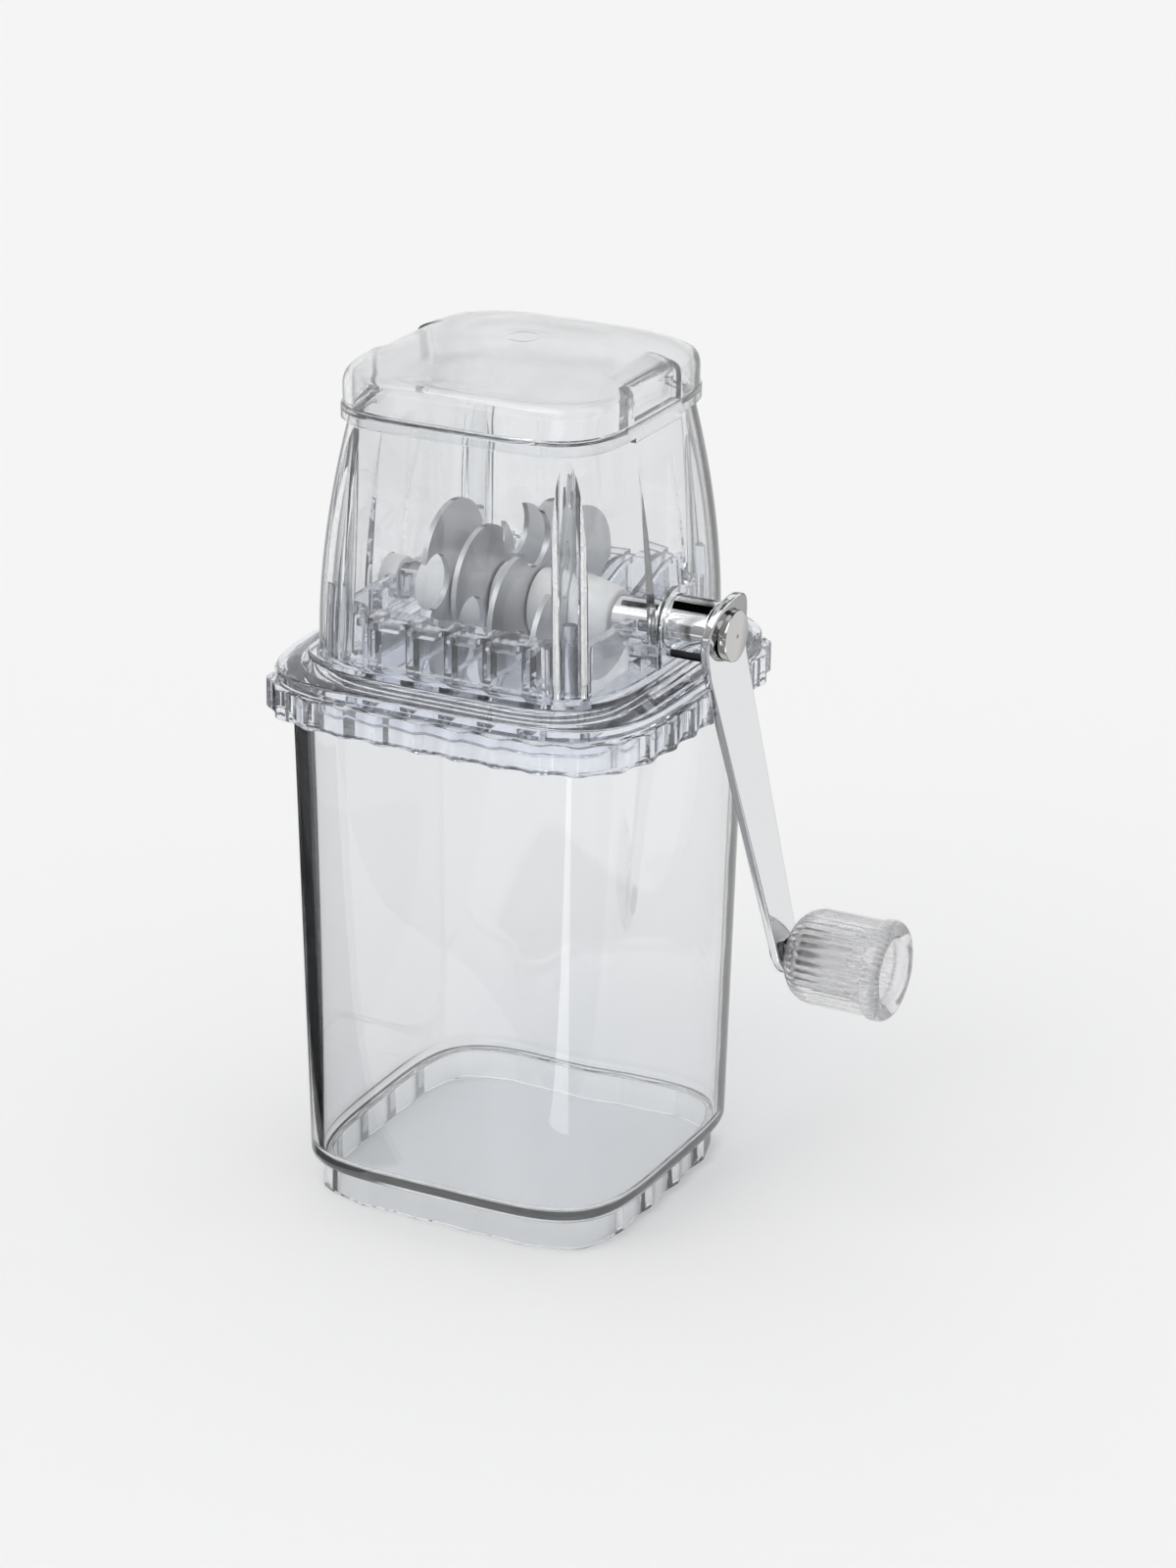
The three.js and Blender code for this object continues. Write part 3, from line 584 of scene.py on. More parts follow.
def loft(stack: list[list[Vector]], looped: bool = False) -> Solid:
    """Extrude a circle of vertices through a stack of outlines with one count of points.

    Args:
        stack: The outlines in order, up the outside and down the inside.
        looped: True where the last outline meets the first, as in a tube.

    Returns:
        The closed solid, in millimetres.
    """
    solid = bmesh.new()
    row = bmesh.ops.create_circle(solid, segments=len(stack[0]), radius=1.0)["verts"]
    for vertex, point in zip(row, stack[0]):
        vertex.co = point
    first = row
    for outline in stack[1:] + stack[: 1 if looped else 0]:
        near = {edge for vertex in row for edge in vertex.link_edges}
        rim = [edge for edge in near if edge.is_boundary or edge.is_wire]
        grown = bmesh.ops.extrude_edge_only(solid, edges=rim)["geom"]
        fresh = {piece for piece in grown if isinstance(piece, bmesh.types.BMVert)}
        row = [
            next(edge.other_vert(old) for edge in old.link_edges if edge.other_vert(old) in fresh)
            for old in row
        ]
        for vertex, point in zip(row, outline):
            vertex.co = point
    if looped:
        bmesh.ops.remove_doubles(solid, verts=solid.verts, dist=MERGE_REACH)
    else:
        for end in (first, row):
            loop = {edge for vertex in end for edge in vertex.link_edges if edge.is_boundary}
            bmesh.ops.contextual_create(solid, geom=list(loop))
    bmesh.ops.recalc_face_normals(solid, faces=solid.faces)
    return solid


def ring_loft(outlines: list[Ring], columns: int) -> Solid:
    """Loft a closed solid through rounded squares of a count of points."""
    return loft([ring_points(ring, columns) for ring in outlines])


def turned(profile: Line, steps: int = 96) -> Solid:
    """Spin a profile round the X axis.

    Args:
        profile: Points as (along X, radius). It starts and ends on the axis, or meets itself.
        steps: How many steps a full turn takes.

    Returns:
        The solid of revolution, in millimetres.
    """
    solid = bmesh.new()
    points = [solid.verts.new((along, 0, radius)) for along, radius in profile]
    edges = [solid.edges.new(pair) for pair in zip(points, points[1:])]
    if profile[0][1] > 0:
        edges.append(solid.edges.new((points[-1], points[0])))
    turn = {"cent": (0, 0, 0), "axis": (1, 0, 0), "angle": 2 * math.pi, "steps": steps}
    bmesh.ops.spin(solid, geom=points + edges, use_merge=True, **turn)
    bmesh.ops.remove_doubles(solid, verts=solid.verts, dist=MERGE_REACH)
    bmesh.ops.recalc_face_normals(solid, faces=solid.faces)
    return solid


def block(low: Triple, high: Triple) -> Solid:
    """Make a box.

    Args:
        low: Its lowest corner.
        high: Its highest corner.

    Returns:
        The solid.
    """
    solid = bmesh.new()
    bmesh.ops.create_cube(solid, size=1.0)
    bmesh.ops.scale(solid, vec=Vector(high) - Vector(low), verts=solid.verts)
    bmesh.ops.translate(solid, vec=(Vector(high) + Vector(low)) / 2, verts=solid.verts)
    return solid


def cylinder(radius: float, start: Vector, end: Vector, sides: int = 48) -> Solid:
    """Make a cylinder.

    Args:
        radius: Its radius.
        start: The middle of one end.
        end: The middle of the other end.
        sides: How many sides it has.

    Returns:
        The solid.
    """
    solid = bmesh.new()
    reach = end - start
    turn = Vector((0, 0, 1)).rotation_difference(reach).to_matrix().to_4x4()
    bmesh.ops.create_cone(
        solid,
        cap_ends=True,
        segments=sides,
        radius1=radius,
        radius2=radius,
        depth=reach.length,
        matrix=Matrix.Translation((start + end) / 2) @ turn,
    )
    return solid


def prism(points: list[Vector], reach: Vector) -> Solid:
    """Extrude an outline.

    Args:
        points: The outline's corners in order, in one plane.
        reach: How far and where to it is extruded.

    Returns:
        The solid, in millimetres.
    """
    solid = bmesh.new()
    face = solid.faces.new([solid.verts.new(point) for point in points])
    grown = bmesh.ops.extrude_face_region(solid, geom=[face], use_keep_orig=True)["geom"]
    moved = [piece for piece in grown if isinstance(piece, bmesh.types.BMVert)]
    bmesh.ops.translate(solid, vec=reach, verts=moved)
    bmesh.ops.recalc_face_normals(solid, faces=solid.faces)
    return solid


def rounded(solid: Solid, width: float, segments: int = 2) -> Solid:
    """Round every sharp edge of a small solid.

    Args:
        solid: The solid to round.
        width: The rounding's width.
        segments: How many segments it has.

    Returns:
        The same solid.
    """
    whole = [edge for edge in solid.edges if edge.is_manifold]
    bmesh.ops.bevel(
        solid,
        geom=[edge for edge in whole if edge.calc_face_angle(0) > SHARP_ANGLE],
        offset=width,
        offset_type="OFFSET",
        segments=segments,
        profile=0.5,
        affect="EDGES",
        material=-1,
        clamp_overlap=True,
    )
    return solid


def moved(solid: Solid, along: float, height: float) -> Solid:
    """Move a solid along X and up."""
    bmesh.ops.translate(solid, vec=(along, 0, height), verts=solid.verts)
    return solid


def opposite(solid: Solid) -> list[Solid]:
    """Repeat a solid half a turn round the object's axis.

    Args:
        solid: The solid.

    Returns:
        The solid and its copy.
    """
    copy = solid.copy()
    bmesh.ops.transform(copy, matrix=Matrix.Rotation(math.pi, 4, "Z"), verts=copy.verts)
    return [solid, copy]


def as_object(solid: Solid, name: str) -> bpy.types.Object:
    """Turn a mesh in progress into a linked object.

    Args:
        solid: The mesh in progress, which is freed.
        name: The object's name.

    Returns:
        The object.
    """
    mesh = bpy.data.meshes.new(name)
    solid.to_mesh(mesh)
    solid.free()
    made = bpy.data.objects.new(name, mesh)
    bpy.context.scene.collection.objects.link(made)
    return made


def discard(spent: bpy.types.Object) -> None:
    """Remove an object and its mesh.

    Args:
        spent: The object.
    """
    mesh = spent.data
    bpy.data.objects.remove(spent)
    bpy.data.meshes.remove(mesh)


def combine(first: Solid, how: Cut, others: list[Solid]) -> Solid:
    """Join solids, or cut some from the first.

    Args:
        first: The solid that is worked on.
        how: Whether the others are joined, removed or kept in common.
        others: The solids that it is combined with.

    Returns:
        The result, in place of all the solids given.
    """
    base = as_object(first, "base")
    for other in others:
        tool = as_object(other, "tool")
        modifier = base.modifiers.new("combine", "BOOLEAN")
        modifier.solver = "MANIFOLD"
        modifier.operation = how.value
        modifier.object = tool
        graph = bpy.context.evaluated_depsgraph_get()
        result = bpy.data.meshes.new_from_object(base.evaluated_get(graph))
        base.modifiers.clear()
        stale, base.data = base.data, result
        bpy.data.meshes.remove(stale)
        discard(tool)
    solid = bmesh.new()
    solid.from_mesh(base.data)
    discard(base)
    return solid


def finished(solid: Solid, node: str, form: str, body: Body, finish: Finish) -> bpy.types.Object:
    """Scale a solid to metres, dress it and set it on its body.

    Args:
        solid: The solid, in millimetres.
        node: The frame's node that it stands for, which its name starts with.
        form: What its name ends with.
        body: The body that it rides on.
        finish: Its finish.

    Returns:
        The finished piece.
    """
    bmesh.ops.scale(solid, vec=(MM, MM, MM), verts=solid.verts)
    made = as_object(solid, f"{node}_{form}")
    made.data.shade_smooth()
    made.data.set_sharp_from_angle(angle=SHARP_ANGLE)
    made.data.materials.append(finish.build())
    flat = made.modifiers.new("flat_faces_stay_flat", "WEIGHTED_NORMAL")
    flat.keep_sharp = True
    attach(made, body.value)
    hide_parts(node)
    LOG.info("%s: %d faces on %s", made.name, len(made.data.polygons), body.value)
    return made


def shifted(rows: tuple, along: float, out: float) -> Line:
    """Move the rows of a profile along and out."""
    return [(along + step, out + radius) for step, radius in rows]


def span(node: str) -> tuple[Vector, Vector]:
    """Give a frame node's lowest and highest corner, in millimetres."""
    low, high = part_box(node)
    return low / MM, high / MM


def length_of(node: str) -> float:
    """Give a frame node's length along X, in millimetres."""
    low, high = span(node)
    return high.x - low.x


def tube_line(outer: float, bore: float, length: float, soft: float) -> Line:
    """Give the profile of a tube with softened outer edges.

    Args:
        outer: Its outer radius.
        bore: The radius of its bore.
        length: Its length.
        soft: The rounding of its outer edges.

    Returns:
        Points as (along, radius).
    """
    ends = arc((outer - soft, soft), soft, -90, 0, 4)
    ends += arc((outer - soft, length - soft), soft, 0, 90, 4)
    return [(0.0, bore)] + [(along, radius) for radius, along in ends] + [(length, bore)]


def turned_piece(
    node: str, profile: Line, body: Body, finish: Finish, height: float = SHAFT_AXIS
) -> None:
    """Turn a piece and set it at its node's place.

    Args:
        node: The frame's node.
        profile: Points as (along, radius), from the node's low end in X.
        body: The body that it rides on.
        finish: Its finish.
        height: The height of its axis.
    """
    piece = moved(turned(profile), span(node)[0].x, height)
    finished(piece, node, "turned", body, finish)


@dataclass
class Container:
    """The square container that catches the crushed ice, on its hollow scalloped foot."""

    wall: float = 2.4
    floor: float = 2.6
    foot_height: float = 9.6
    foot_half: float = 47.7
    foot_wall: float = 2.2
    foot_soft: float = 0.35
    foot_flare: float = 0.2
    scallops: int = 20
    scallop_depth: float = 1.1
    half_foot: float = 51.1
    edge: float = 2.9
    edge_inset: float = 1.8
    power: float = 4.7
    foot_power: float = 5.3
    columns: int = 480
    # Shares of the lower edge's turn and of the walls' height where a ring lies
    edge_shares: tuple = (0.0, 0.15, 0.35, 0.6, 0.85, 1.0)
    wall_shares: tuple = (0.25, 0.5, 0.75)

    def scallop(self, share: float) -> float:
        """Give the foot's inset at a share of the way round, with cusps between hollows."""
        return self.scallop_depth * abs(math.cos(math.pi * self.scallops * share))

    def outlines(self) -> list[Ring]:
        """Work out the outlines from under the floor, over the foot and the rim, to the floor.

        Returns:
            The rings in order.
        """
        corner = span("container")[1]
        half_rim, top = corner.y, corner.z
        lip = self.wall / 2
        high, foot, soft, flare = self.foot_height, self.foot_half, self.foot_soft, self.foot_flare
        inner = foot - self.foot_wall
        made = rings(
            self.foot_power,
            [(inner - 2 * soft, high), (inner, high - soft), (inner, soft), (inner + soft, 0.0)],
        )
        outside = [(foot - soft, 0.0), (foot, soft), (foot, high - flare), (foot + flare, high)]
        made += rings(self.foot_power, outside, self.scallop)
        line = []
        for share in self.edge_shares:
            bend = math.radians(90 * share)
            out = self.half_foot - self.edge_inset * (1 - math.sin(bend))
            line.append((out, high + self.edge * (1 - math.cos(bend))))
        slope = (half_rim - self.half_foot) / (top - high - self.edge)

        def wall_line(half: float, low: float, shares: tuple) -> Line:
            """Give points on a wall that starts at a half width and a height."""
            reaches = (share * (top - lip - low) for share in shares)
            return [(half + slope * reach, low + reach) for reach in reaches]

        line += wall_line(self.half_foot, high + self.edge, self.wall_shares)
        line += arc((half_rim - lip, top - lip), lip, 0, 180, 8)
        inner, low = self.half_foot - self.wall, high + self.floor + self.edge
        line += wall_line(inner, low, self.wall_shares[::-1])
        line += arc((inner - self.edge, low), self.edge, 0, -90, 6)
        return made + rings(self.power, line)

    def build(self) -> None:
        """Model the container in one shell."""
        shell = ring_loft(self.outlines(), self.columns)
        finished(shell, "container", "shell", Body.CONTAINER, CLEAR_WALL)


@dataclass
class Columns:
    """Where the hopper's four hollow corner columns stand, and how they lean."""

    half_x: float = 36.2
    half_y: float = 40.2
    lean: float = 2.1
    foot: float = 165.3
    height: float = 67.7

    def at(self, radius: float, low: float, high: float, sides: int = 48) -> list[Solid]:
        """Make a cylinder at each column.

        Args:
            radius: Their radius.
            low: The height of their feet.
            high: The height of their tops.
            sides: How many sides each has.

        Returns:
            Four solids.
        """
        made = []
        for side_x in Side:
            for side_y in Side:
                ends = []
                for up in (low, high):
                    lean = self.lean * (up - self.foot) / self.height
                    across = side_x.value * (self.half_x - lean)
                    ends.append(Vector((across, side_y.value * (self.half_y - lean), up)))
                made.append(cylinder(radius, *ends, sides))
        return made


@dataclass
class Hopper:
    """The tapered hopper: a clear shell with corner columns, pads and a slot for the shaft."""

    columns_at: Columns
    half_foot: float = 48.1
    taper: float = 8.9
    taper_power: float = 1.75
    power_foot: float = 4.3
    power_top: float = 5.3
    wall: float = 2.3
    column_radius: float = 4.6
    column_bore: float = 2.6
    pad_half: float = 10.0
    pad_depth: float = 5.1
    pad_lean_share: float = 0.8
    boss_wall: float = 2.3
    boss_proud: float = 0.2
    slot_radius: float = 9.05
    blind_radius: float = 6.5
    comb_half: float = 39.0
    columns: int = 240
    levels: int = 18
    low: float = field(init=False)
    top: float = field(init=False)

    def __post_init__(self) -> None:
        """Take the heights from the frame."""
        self.low, self.top = (corner.z for corner in span("hopper"))

    def half(self, share: float) -> float:
        """Give the outside half width at a share of the height."""
        return self.half_foot - self.taper * share**self.taper_power

    def pad_face(self, share: float) -> float:
        """Give the distance of a pad's inner face from the axis at a share of the height."""
        return self.half(share) - self.pad_depth * (1 - self.pad_lean_share * share * share)

    def height_at(self, share: float) -> float:
        """Give the height at a share of the whole height."""
        return self.low + share * (self.top - self.low)

    def ring(self, share: float, inset: float, height: float | None = None) -> Ring:
        """Give the outline at a share of the height.

        Args:
            share: The share of the height.
            inset: How far it is set in from the outer face.
            height: Its height, where that isn't the share's.

        Returns:
            The ring.
        """
        power = self.power_foot + (self.power_top - self.power_foot) * share
        up = self.height_at(share) if height is None else height
        return Ring(up, self.half(share) - inset, power)

    def arch(self, radius: float, foot: float, from_x: float, to_x: float) -> Solid:
        """Make an arch over the shaft's axis with straight legs, between two places along X."""
        line = [(-radius, foot), (radius, foot)] + arc((0, SHAFT_AXIS), radius, 0, 180, 32)
        return prism([Vector((from_x, out, up)) for out, up in line], Vector((to_x - from_x, 0, 0)))

    def pads(self) -> list[Solid]:
        """Make the flat pads inside the two walls that the shaft passes.

        Returns:
            The two pads.
        """
        outside = self.half_foot + CUT_OVERRUN
        line = [(outside, self.low), (outside, self.top)]
        for level in range(self.levels, -1, -1):
            share = level / self.levels
            line.append((self.pad_face(share), self.height_at(share)))
        points = [Vector((out, -self.pad_half, up)) for out, up in line]
        return opposite(prism(points, Vector((0, 2 * self.pad_half, 0))))

    def build(self) -> None:
        """Model the shell as an outside less its hollow, with the boss added and the slots cut."""
        shares = [level / self.levels for level in range(self.levels + 1)]
        foot, past_top = self.low - CUT_OVERRUN, self.top + CUT_OVERRUN
        outside = ring_loft([self.ring(share, 0.0) for share in shares], self.columns)
        hollow = [self.ring(share, self.wall) for share in shares]
        hollow.insert(0, self.ring(0.0, self.wall, foot))
        hollow.append(self.ring(1.0, self.wall, past_top))
        columns = self.columns_at.at(self.column_radius, foot, self.top)
        bores = self.columns_at.at(self.column_bore, foot - CUT_OVERRUN, past_top)
        tubes = [combine(column, Cut.REMOVE, [bore]) for column, bore in zip(columns, bores)]
        cavity = combine(ring_loft(hollow, self.columns), Cut.REMOVE, tubes + self.pads())
        boss_radius = self.slot_radius + self.boss_wall
        boss_share = (SHAFT_AXIS - self.low + boss_radius) / (self.top - self.low)
        boss_inner = self.half(boss_share) - self.wall / 2
        boss_outer = self.half_foot + self.boss_proud
        boss = self.arch(boss_radius, self.low, boss_inner, boss_outer)
        slot = self.arch(self.slot_radius, foot, self.comb_half, boss_outer + CUT_OVERRUN)
        blind = self.arch(self.blind_radius, foot, self.wall - self.half_foot, -self.comb_half)
        shell = combine(outside, Cut.REMOVE, [cavity])
        shell = combine(shell, Cut.JOIN, [boss])
        shell = combine(shell, Cut.REMOVE, [slot, blind])
        finished(shell, "hopper", "shell", Body.HOPPER, CLEAR)


@dataclass
class Lid:
    """The domed lid, with a rim over the hopper and a finger scoop in each shaft side."""

    half: float = 42.0
    power: float = 4.7
    inner_power: float = 5.3
    least_power: float = 2.0
    rim_drop: float = 2.0
    rim_height: float = 4.2
    rim_soft: float = 0.4
    play: float = 0.4
    lip: float = 0.5
    side_wall: float = 3.2
    wall: float = 2.0
    scoop_half: float = 14.0
    scoop_depth: float = 2.9
    scoop_round: float = 1.2
    tab_drop: float = 1.0
    columns: int = 288
    # Rows of a share of the dome's height, of its half width and of its squareness
    dome_shares: tuple = (
        (0.0, 1.0, 1.0),
        (0.374, 1.0, 1.0),
        (0.58, 0.98, 0.92),
        (0.697, 0.905, 0.84),
        (0.781, 0.79, 0.77),
        (0.865, 0.585, 0.72),
        (0.942, 0.386, 0.66),
        (0.987, 0.193, 0.58),
        (1.0, 0.1, 0.5),
    )
    # Rows of a share of the dome's height and of the scoop's depth
    scoop_shares: tuple = (
        (0.0, 1.0), (0.2, 0.95), (0.4, 0.8), (0.6, 0.5), (0.75, 0.15), (0.84, -0.2)
    )

    def dome(self, low: float, high: float, wall: float = 0.0) -> list[Ring]:
        """Give the dome's rings, outside or set in by its wall.

        Args:
            low: The height of its foot outside.
            high: The height of its top outside.
            wall: How far the rings are set in, square to the dome.

        Returns:
            The rings, upwards.
        """
        half, rise, least = self.half - self.lip, high - low, self.least_power
        rows = [
            (low + up * rise, min(out, 1.0) * half, max(least, square * self.power))
            for up, out, square in smoothed(self.dome_shares, 4)
        ]
        made = []
        for (below, wide, _), (up, out, power), (above, narrow, _) in zip(
            rows[:1] + rows[:-1], rows, rows[1:] + rows[-1:]
        ):
            slope = math.hypot(above - below, wide - narrow)
            down, inward = (wide - narrow) / slope, (above - below) / slope
            made.append(Ring(up - wall * down, out - wall * inward, power))
        return made

    def half_at(self, up_share: float) -> float:
        """Give the dome's half width at a height.

        Args:
            up_share: The share of the dome's height.

        Returns:
            The half width.
        """
        rows = self.dome_shares
        place = next(number for number, row in enumerate(rows) if row[0] > up_share)
        low, high = rows[place - 1], rows[place]
        share = (up_share - low[0]) / (high[0] - low[0])
        return (self.half - self.lip) * (low[1] + share * (high[1] - low[1]))

    def scoops(self, line: Line, half: float) -> list[Solid]:
        """Extrude an outline in X and Z over a width centred on Y, rounded, for both sides."""
        solid = prism([Vector((out, -half, up)) for out, up in line], Vector((0, 2 * half, 0)))
        return opposite(rounded(solid, self.scoop_round, 3))

    def build(self, hopper: Hopper) -> None:
        """Model the lid as a dome less its hollow, with scoops, tabs and a wall behind each scoop.

        Args:
            hopper: The hopper that it closes.
        """
        ledge, top = hopper.top + SEAT_GAP, span("lid")[1].z
        rim_low = hopper.top - self.rim_drop
        rim_top, tab_low = rim_low + self.rim_height, rim_low - self.tab_drop
        soft = self.rim_soft
        bite = soft * EDGE_BITE
        rim = [
            (self.half - soft, rim_low),
            (self.half, rim_low + soft),
            (self.half, rim_top - soft),
            (self.half - bite, rim_top - bite),
        ]
        outside = ring_loft(rings(self.power, rim) + self.dome(rim_top, top), self.columns)
        tab_share = 1 - (self.rim_drop + self.tab_drop) / (hopper.top - hopper.low)
        rim_inner = hopper.half(tab_share) + self.play
        hollow = rings(self.inner_power, [(rim_inner, tab_low - CUT_OVERRUN), (rim_inner, ledge)])
        hollow += rings(self.power, [(self.half - self.lip - self.side_wall, ledge)])
        hollow += self.dome(rim_top, top, self.wall)
        recess = [
            (self.half_at(up) - depth * self.scoop_depth, rim_top + up * (top - rim_top))
            for up, depth in smoothed(self.scoop_shares, 3)
        ]
        beyond, last = self.half + CUT_OVERRUN, recess[-1][1]
        backing = [(out - self.wall, up) for out, up in recess]
        scoops = self.scoops(recess + [(beyond, last), (beyond, rim_top)], self.scoop_half)
        keeps = self.scoops(
            [(backing[0][0], ledge)] + backing + [(beyond, last), (beyond, ledge)],
            self.scoop_half + self.wall,
        )
        inside = combine(ring_loft(hollow, self.columns), Cut.REMOVE, keeps)
        tab = block(
            (rim_inner, -self.scoop_half, tab_low), (self.half, self.scoop_half, rim_low + soft)
        )
        shell = combine(outside, Cut.REMOVE, scoops)
        shell = combine(shell, Cut.JOIN, opposite(tab))
        shell = combine(shell, Cut.REMOVE, [inside])
        finished(shell, "lid", "shell", Body.LID, CLEAR_LID)


@dataclass
class CrusherBase:
    """The fluted collar on the container's rim, with the comb that the blades pass through."""

    columns_at: Columns
    hopper: Hopper
    flutes: int = 36
    flute_depth: float = 1.4
    ridge_share: float = 0.16
    steps_a_flute: int = 20
    skirt_height: float = 8.6
    skirt_wall: float = 5.1
    band_inset: float = 2.4
    band_height: float = 4.0
    band_round: float = 0.9
    band_turn: float = 75.0
    seam_rise: float = 0.05
    shoulder_half: float = 51.2
    shoulder_rise: float = 5.9
    plate_half: float = 50.5
    plate_thickness: float = 2.6
    plate_fillet: float = 0.6
    spigot_half: float = 50.6
    spigot_wall: float = 2.4
    spigot_drop: float = 6.0
    soft: float = 0.4
    power: float = 4.47
    inner_power: float = 4.7
    comb_half: tuple[float, float] = (39.0, 41.5)
    comb_wall: float = 2.5
    comb_rise: float = 13.0
    comb_drop: float = 5.0
    column_play: float = 1.2
    fins: int = 5
    fin_pitch: float = 12.0
    fin_thickness: float = 4.4
    fin_skin: float = 1.2
    fin_tip: float = 13.5
    fin_round: float = 0.35
    ledge_thickness: float = 2.0
    ledge_half: float = 27.0
    notch_width: float = 3.0
    post_radius: float = 2.1
    post_height: float = 20.5
    post_round: float = 0.3
    saddle_half: float = 13.0
    # Rows of a step out and a step up from the shoulder's edge and from the plate's foot
    shoulder_rows: tuple = ((1.0, -0.25), (0.0, 0.0))
    plate_foot: tuple = ((0.1, 0.2),)
    # Outlines as shares of the way out from a fin's tip and up the comb
    fin_shares: tuple = (
        (0.95, 1.0), (0.73, 1.0), (0.09, 0.73), (0.0, 0.62), (0.0, 0.42), (0.3, 0.04), (0.95, 0.04)
    )
    pocket_shares: tuple = (
        (1.1, 0.92), (0.7, 0.92), (0.2, 0.68), (0.14, 0.62), (0.14, 0.54), (1.1, 0.54)
    )
    seat: float = field(init=False)

    def __post_init__(self) -> None:
        """Take the height that the hopper stands on."""
        self.seat = self.hopper.low - SEAT_GAP

    def flute(self, share: float) -> float:
        """Shape the flutes: narrow ridges and wide hollows.

        Args:
            share: The share of the way round.

        Returns:
            The skirt's inset there.
        """
        place = (share * self.flutes + self.ridge_share / 2) % 1
        if place < self.ridge_share:
            return 0.0
        hollow = (place - self.ridge_share) / (1 - self.ridge_share)
        return self.flute_depth * math.sin(math.pi * hollow)

    def flange(self) -> Solid:
        """Model the collar from under its plate, round the locating ring, the skirt and the band.

        Returns:
            The solid, with its plate still whole.
        """
        seat, soft, bite = self.seat, self.soft, self.soft * EDGE_BITE
        under, plate_low = seat - PLATE_RISE, seat - self.plate_thickness
        half = span("crusher_base")[1].y
        inner, low = half - self.skirt_wall, under - self.skirt_height
        band, band_top = half - self.band_inset, under + self.band_height
        outer = self.spigot_half
        bore, ring_low = outer - self.spigot_wall, under - self.spigot_drop
        shoulder = under + self.shoulder_rise
        locating_ring = [
            (bore - 2.0, plate_low),
            (bore - 1.0, plate_low),
            (bore, plate_low - self.plate_fillet),
            (bore, ring_low + soft),
            (bore + soft, ring_low),
            (outer - soft, ring_low),
            (outer, ring_low + soft),
            (outer, under - soft),
            (outer + soft, under),
        ]
        skirt_inside = [(inner - soft, under), (inner, under - soft)]
        skirt_inside += [(inner, low + soft), (inner + soft, low)]
        skirt_outside = [
            (half - soft, low),
            (half - bite, low + bite),
            (half, low + soft),
            (half, under - soft),
            (half - bite, under - bite),
            (half - soft, under),
        ]
        top = [(band + soft, under + self.seam_rise), (band, under + soft)]
        bend = self.band_round
        top += arc((band - bend, band_top - bend), bend, 0, self.band_turn, 6)
        top += shifted(self.shoulder_rows, self.shoulder_half, shoulder)
        top += shifted(self.plate_foot, self.plate_half, shoulder)
        top += [
            (self.plate_half, seat - soft),
            (self.plate_half - bite, seat - bite),
            (self.plate_half - soft, seat),
        ]
        made = rings(self.inner_power, locating_ring) + rings(self.power, skirt_inside)
        made += rings(self.power, skirt_outside, self.flute) + rings(self.power, top)
        return ring_loft(made, self.flutes * self.steps_a_flute)

    def fin_places(self) -> list[float]:
        """Give the places of the fins' middles along X."""
        return [(number - (self.fins - 1) / 2) * self.fin_pitch for number in range(self.fins)]

    def fin(self, shares: tuple, low: float, high: float, x: float, half: float) -> Solid:
        """Extrude a fin's outline, or its pocket's.

        Args:
            shares: The outline.
            low: The height of the comb's foot.
            high: The height of its top.
            x: The place of its middle.
            half: Half its thickness.

        Returns:
            The solid.
        """
        reach = self.comb_half[1] - self.fin_tip
        line = [(self.fin_tip + out * reach, low + up * (high - low)) for out, up in shares]
        return prism([Vector((x - half, out, up)) for out, up in line], Vector((2 * half, 0, 0)))

    def build(self) -> None:
        """Model the collar, then open its middle and add the comb, its fins and the posts."""
        half_x, half_y = self.comb_half
        low, high = self.seat - PLATE_RISE - self.comb_drop, self.seat + self.comb_rise
        past_low, past_high = low - CUT_OVERRUN, high + CUT_OVERRUN
        notch = self.hopper.column_radius + self.column_play
        inner_x, inner_y = half_x - self.comb_wall, half_y - self.comb_wall
        notches = self.columns_at.at(notch, past_low, past_high)
        walls = combine(block((-half_x, -half_y, low), (half_x, half_y, high)), Cut.REMOVE, notches)
        well = block((-inner_x, -inner_y, past_low), (inner_x, inner_y, past_high))
        corners = self.columns_at.at(notch + self.comb_wall, past_low, past_high)
        well = combine(well, Cut.REMOVE, corners)
        base = combine(self.flange(), Cut.JOIN, [walls])
        base = combine(base, Cut.REMOVE, [well])
        fins, pockets = [], []
        half = self.fin_thickness / 2
        for x in self.fin_places():
            fins += opposite(rounded(self.fin(self.fin_shares, low, high, x, half), self.fin_round))
            pockets += opposite(self.fin(self.pocket_shares, low, high, x, half - self.fin_skin))
        base = combine(base, Cut.JOIN, fins)
        base = combine(base, Cut.JOIN, self.ledges(high))
        base = combine(base, Cut.REMOVE, pockets)
        base = self.with_saddles(base, inner_x, high)
        base = combine(base, Cut.JOIN, self.posts())
        finished(base, "crusher_base", "shell", Body.HOPPER, CLEAR_THICK)

    def ledges(self, top: float) -> list[Solid]:
        """Make the notched ledges between the comb's long sides and the hopper's wall.

        Args:
            top: The height of their top.

        Returns:
            The two ledges.
        """
        hopper, bottom = self.hopper, top - self.ledge_thickness
        room = []
        for height in (bottom, top):
            share = (height - hopper.low) / (hopper.top - hopper.low)
            room.append(hopper.ring(share, hopper.wall + SEAT_GAP, height))
        strip = block(
            (-self.ledge_half, self.comb_half[1] - self.comb_wall / 2, bottom),
            (self.ledge_half, hopper.half_foot, top),
        )
        strip = combine(strip, Cut.KEEP, [ring_loft(room, hopper.columns)])
        half = self.notch_width / 2
        notches = [
            block(
                (x - half, self.comb_half[1], bottom - CUT_OVERRUN),
                (x + half, hopper.half_foot, top + CUT_OVERRUN),
            )
            for x in self.fin_places()
        ]
        return opposite(combine(strip, Cut.REMOVE, notches))

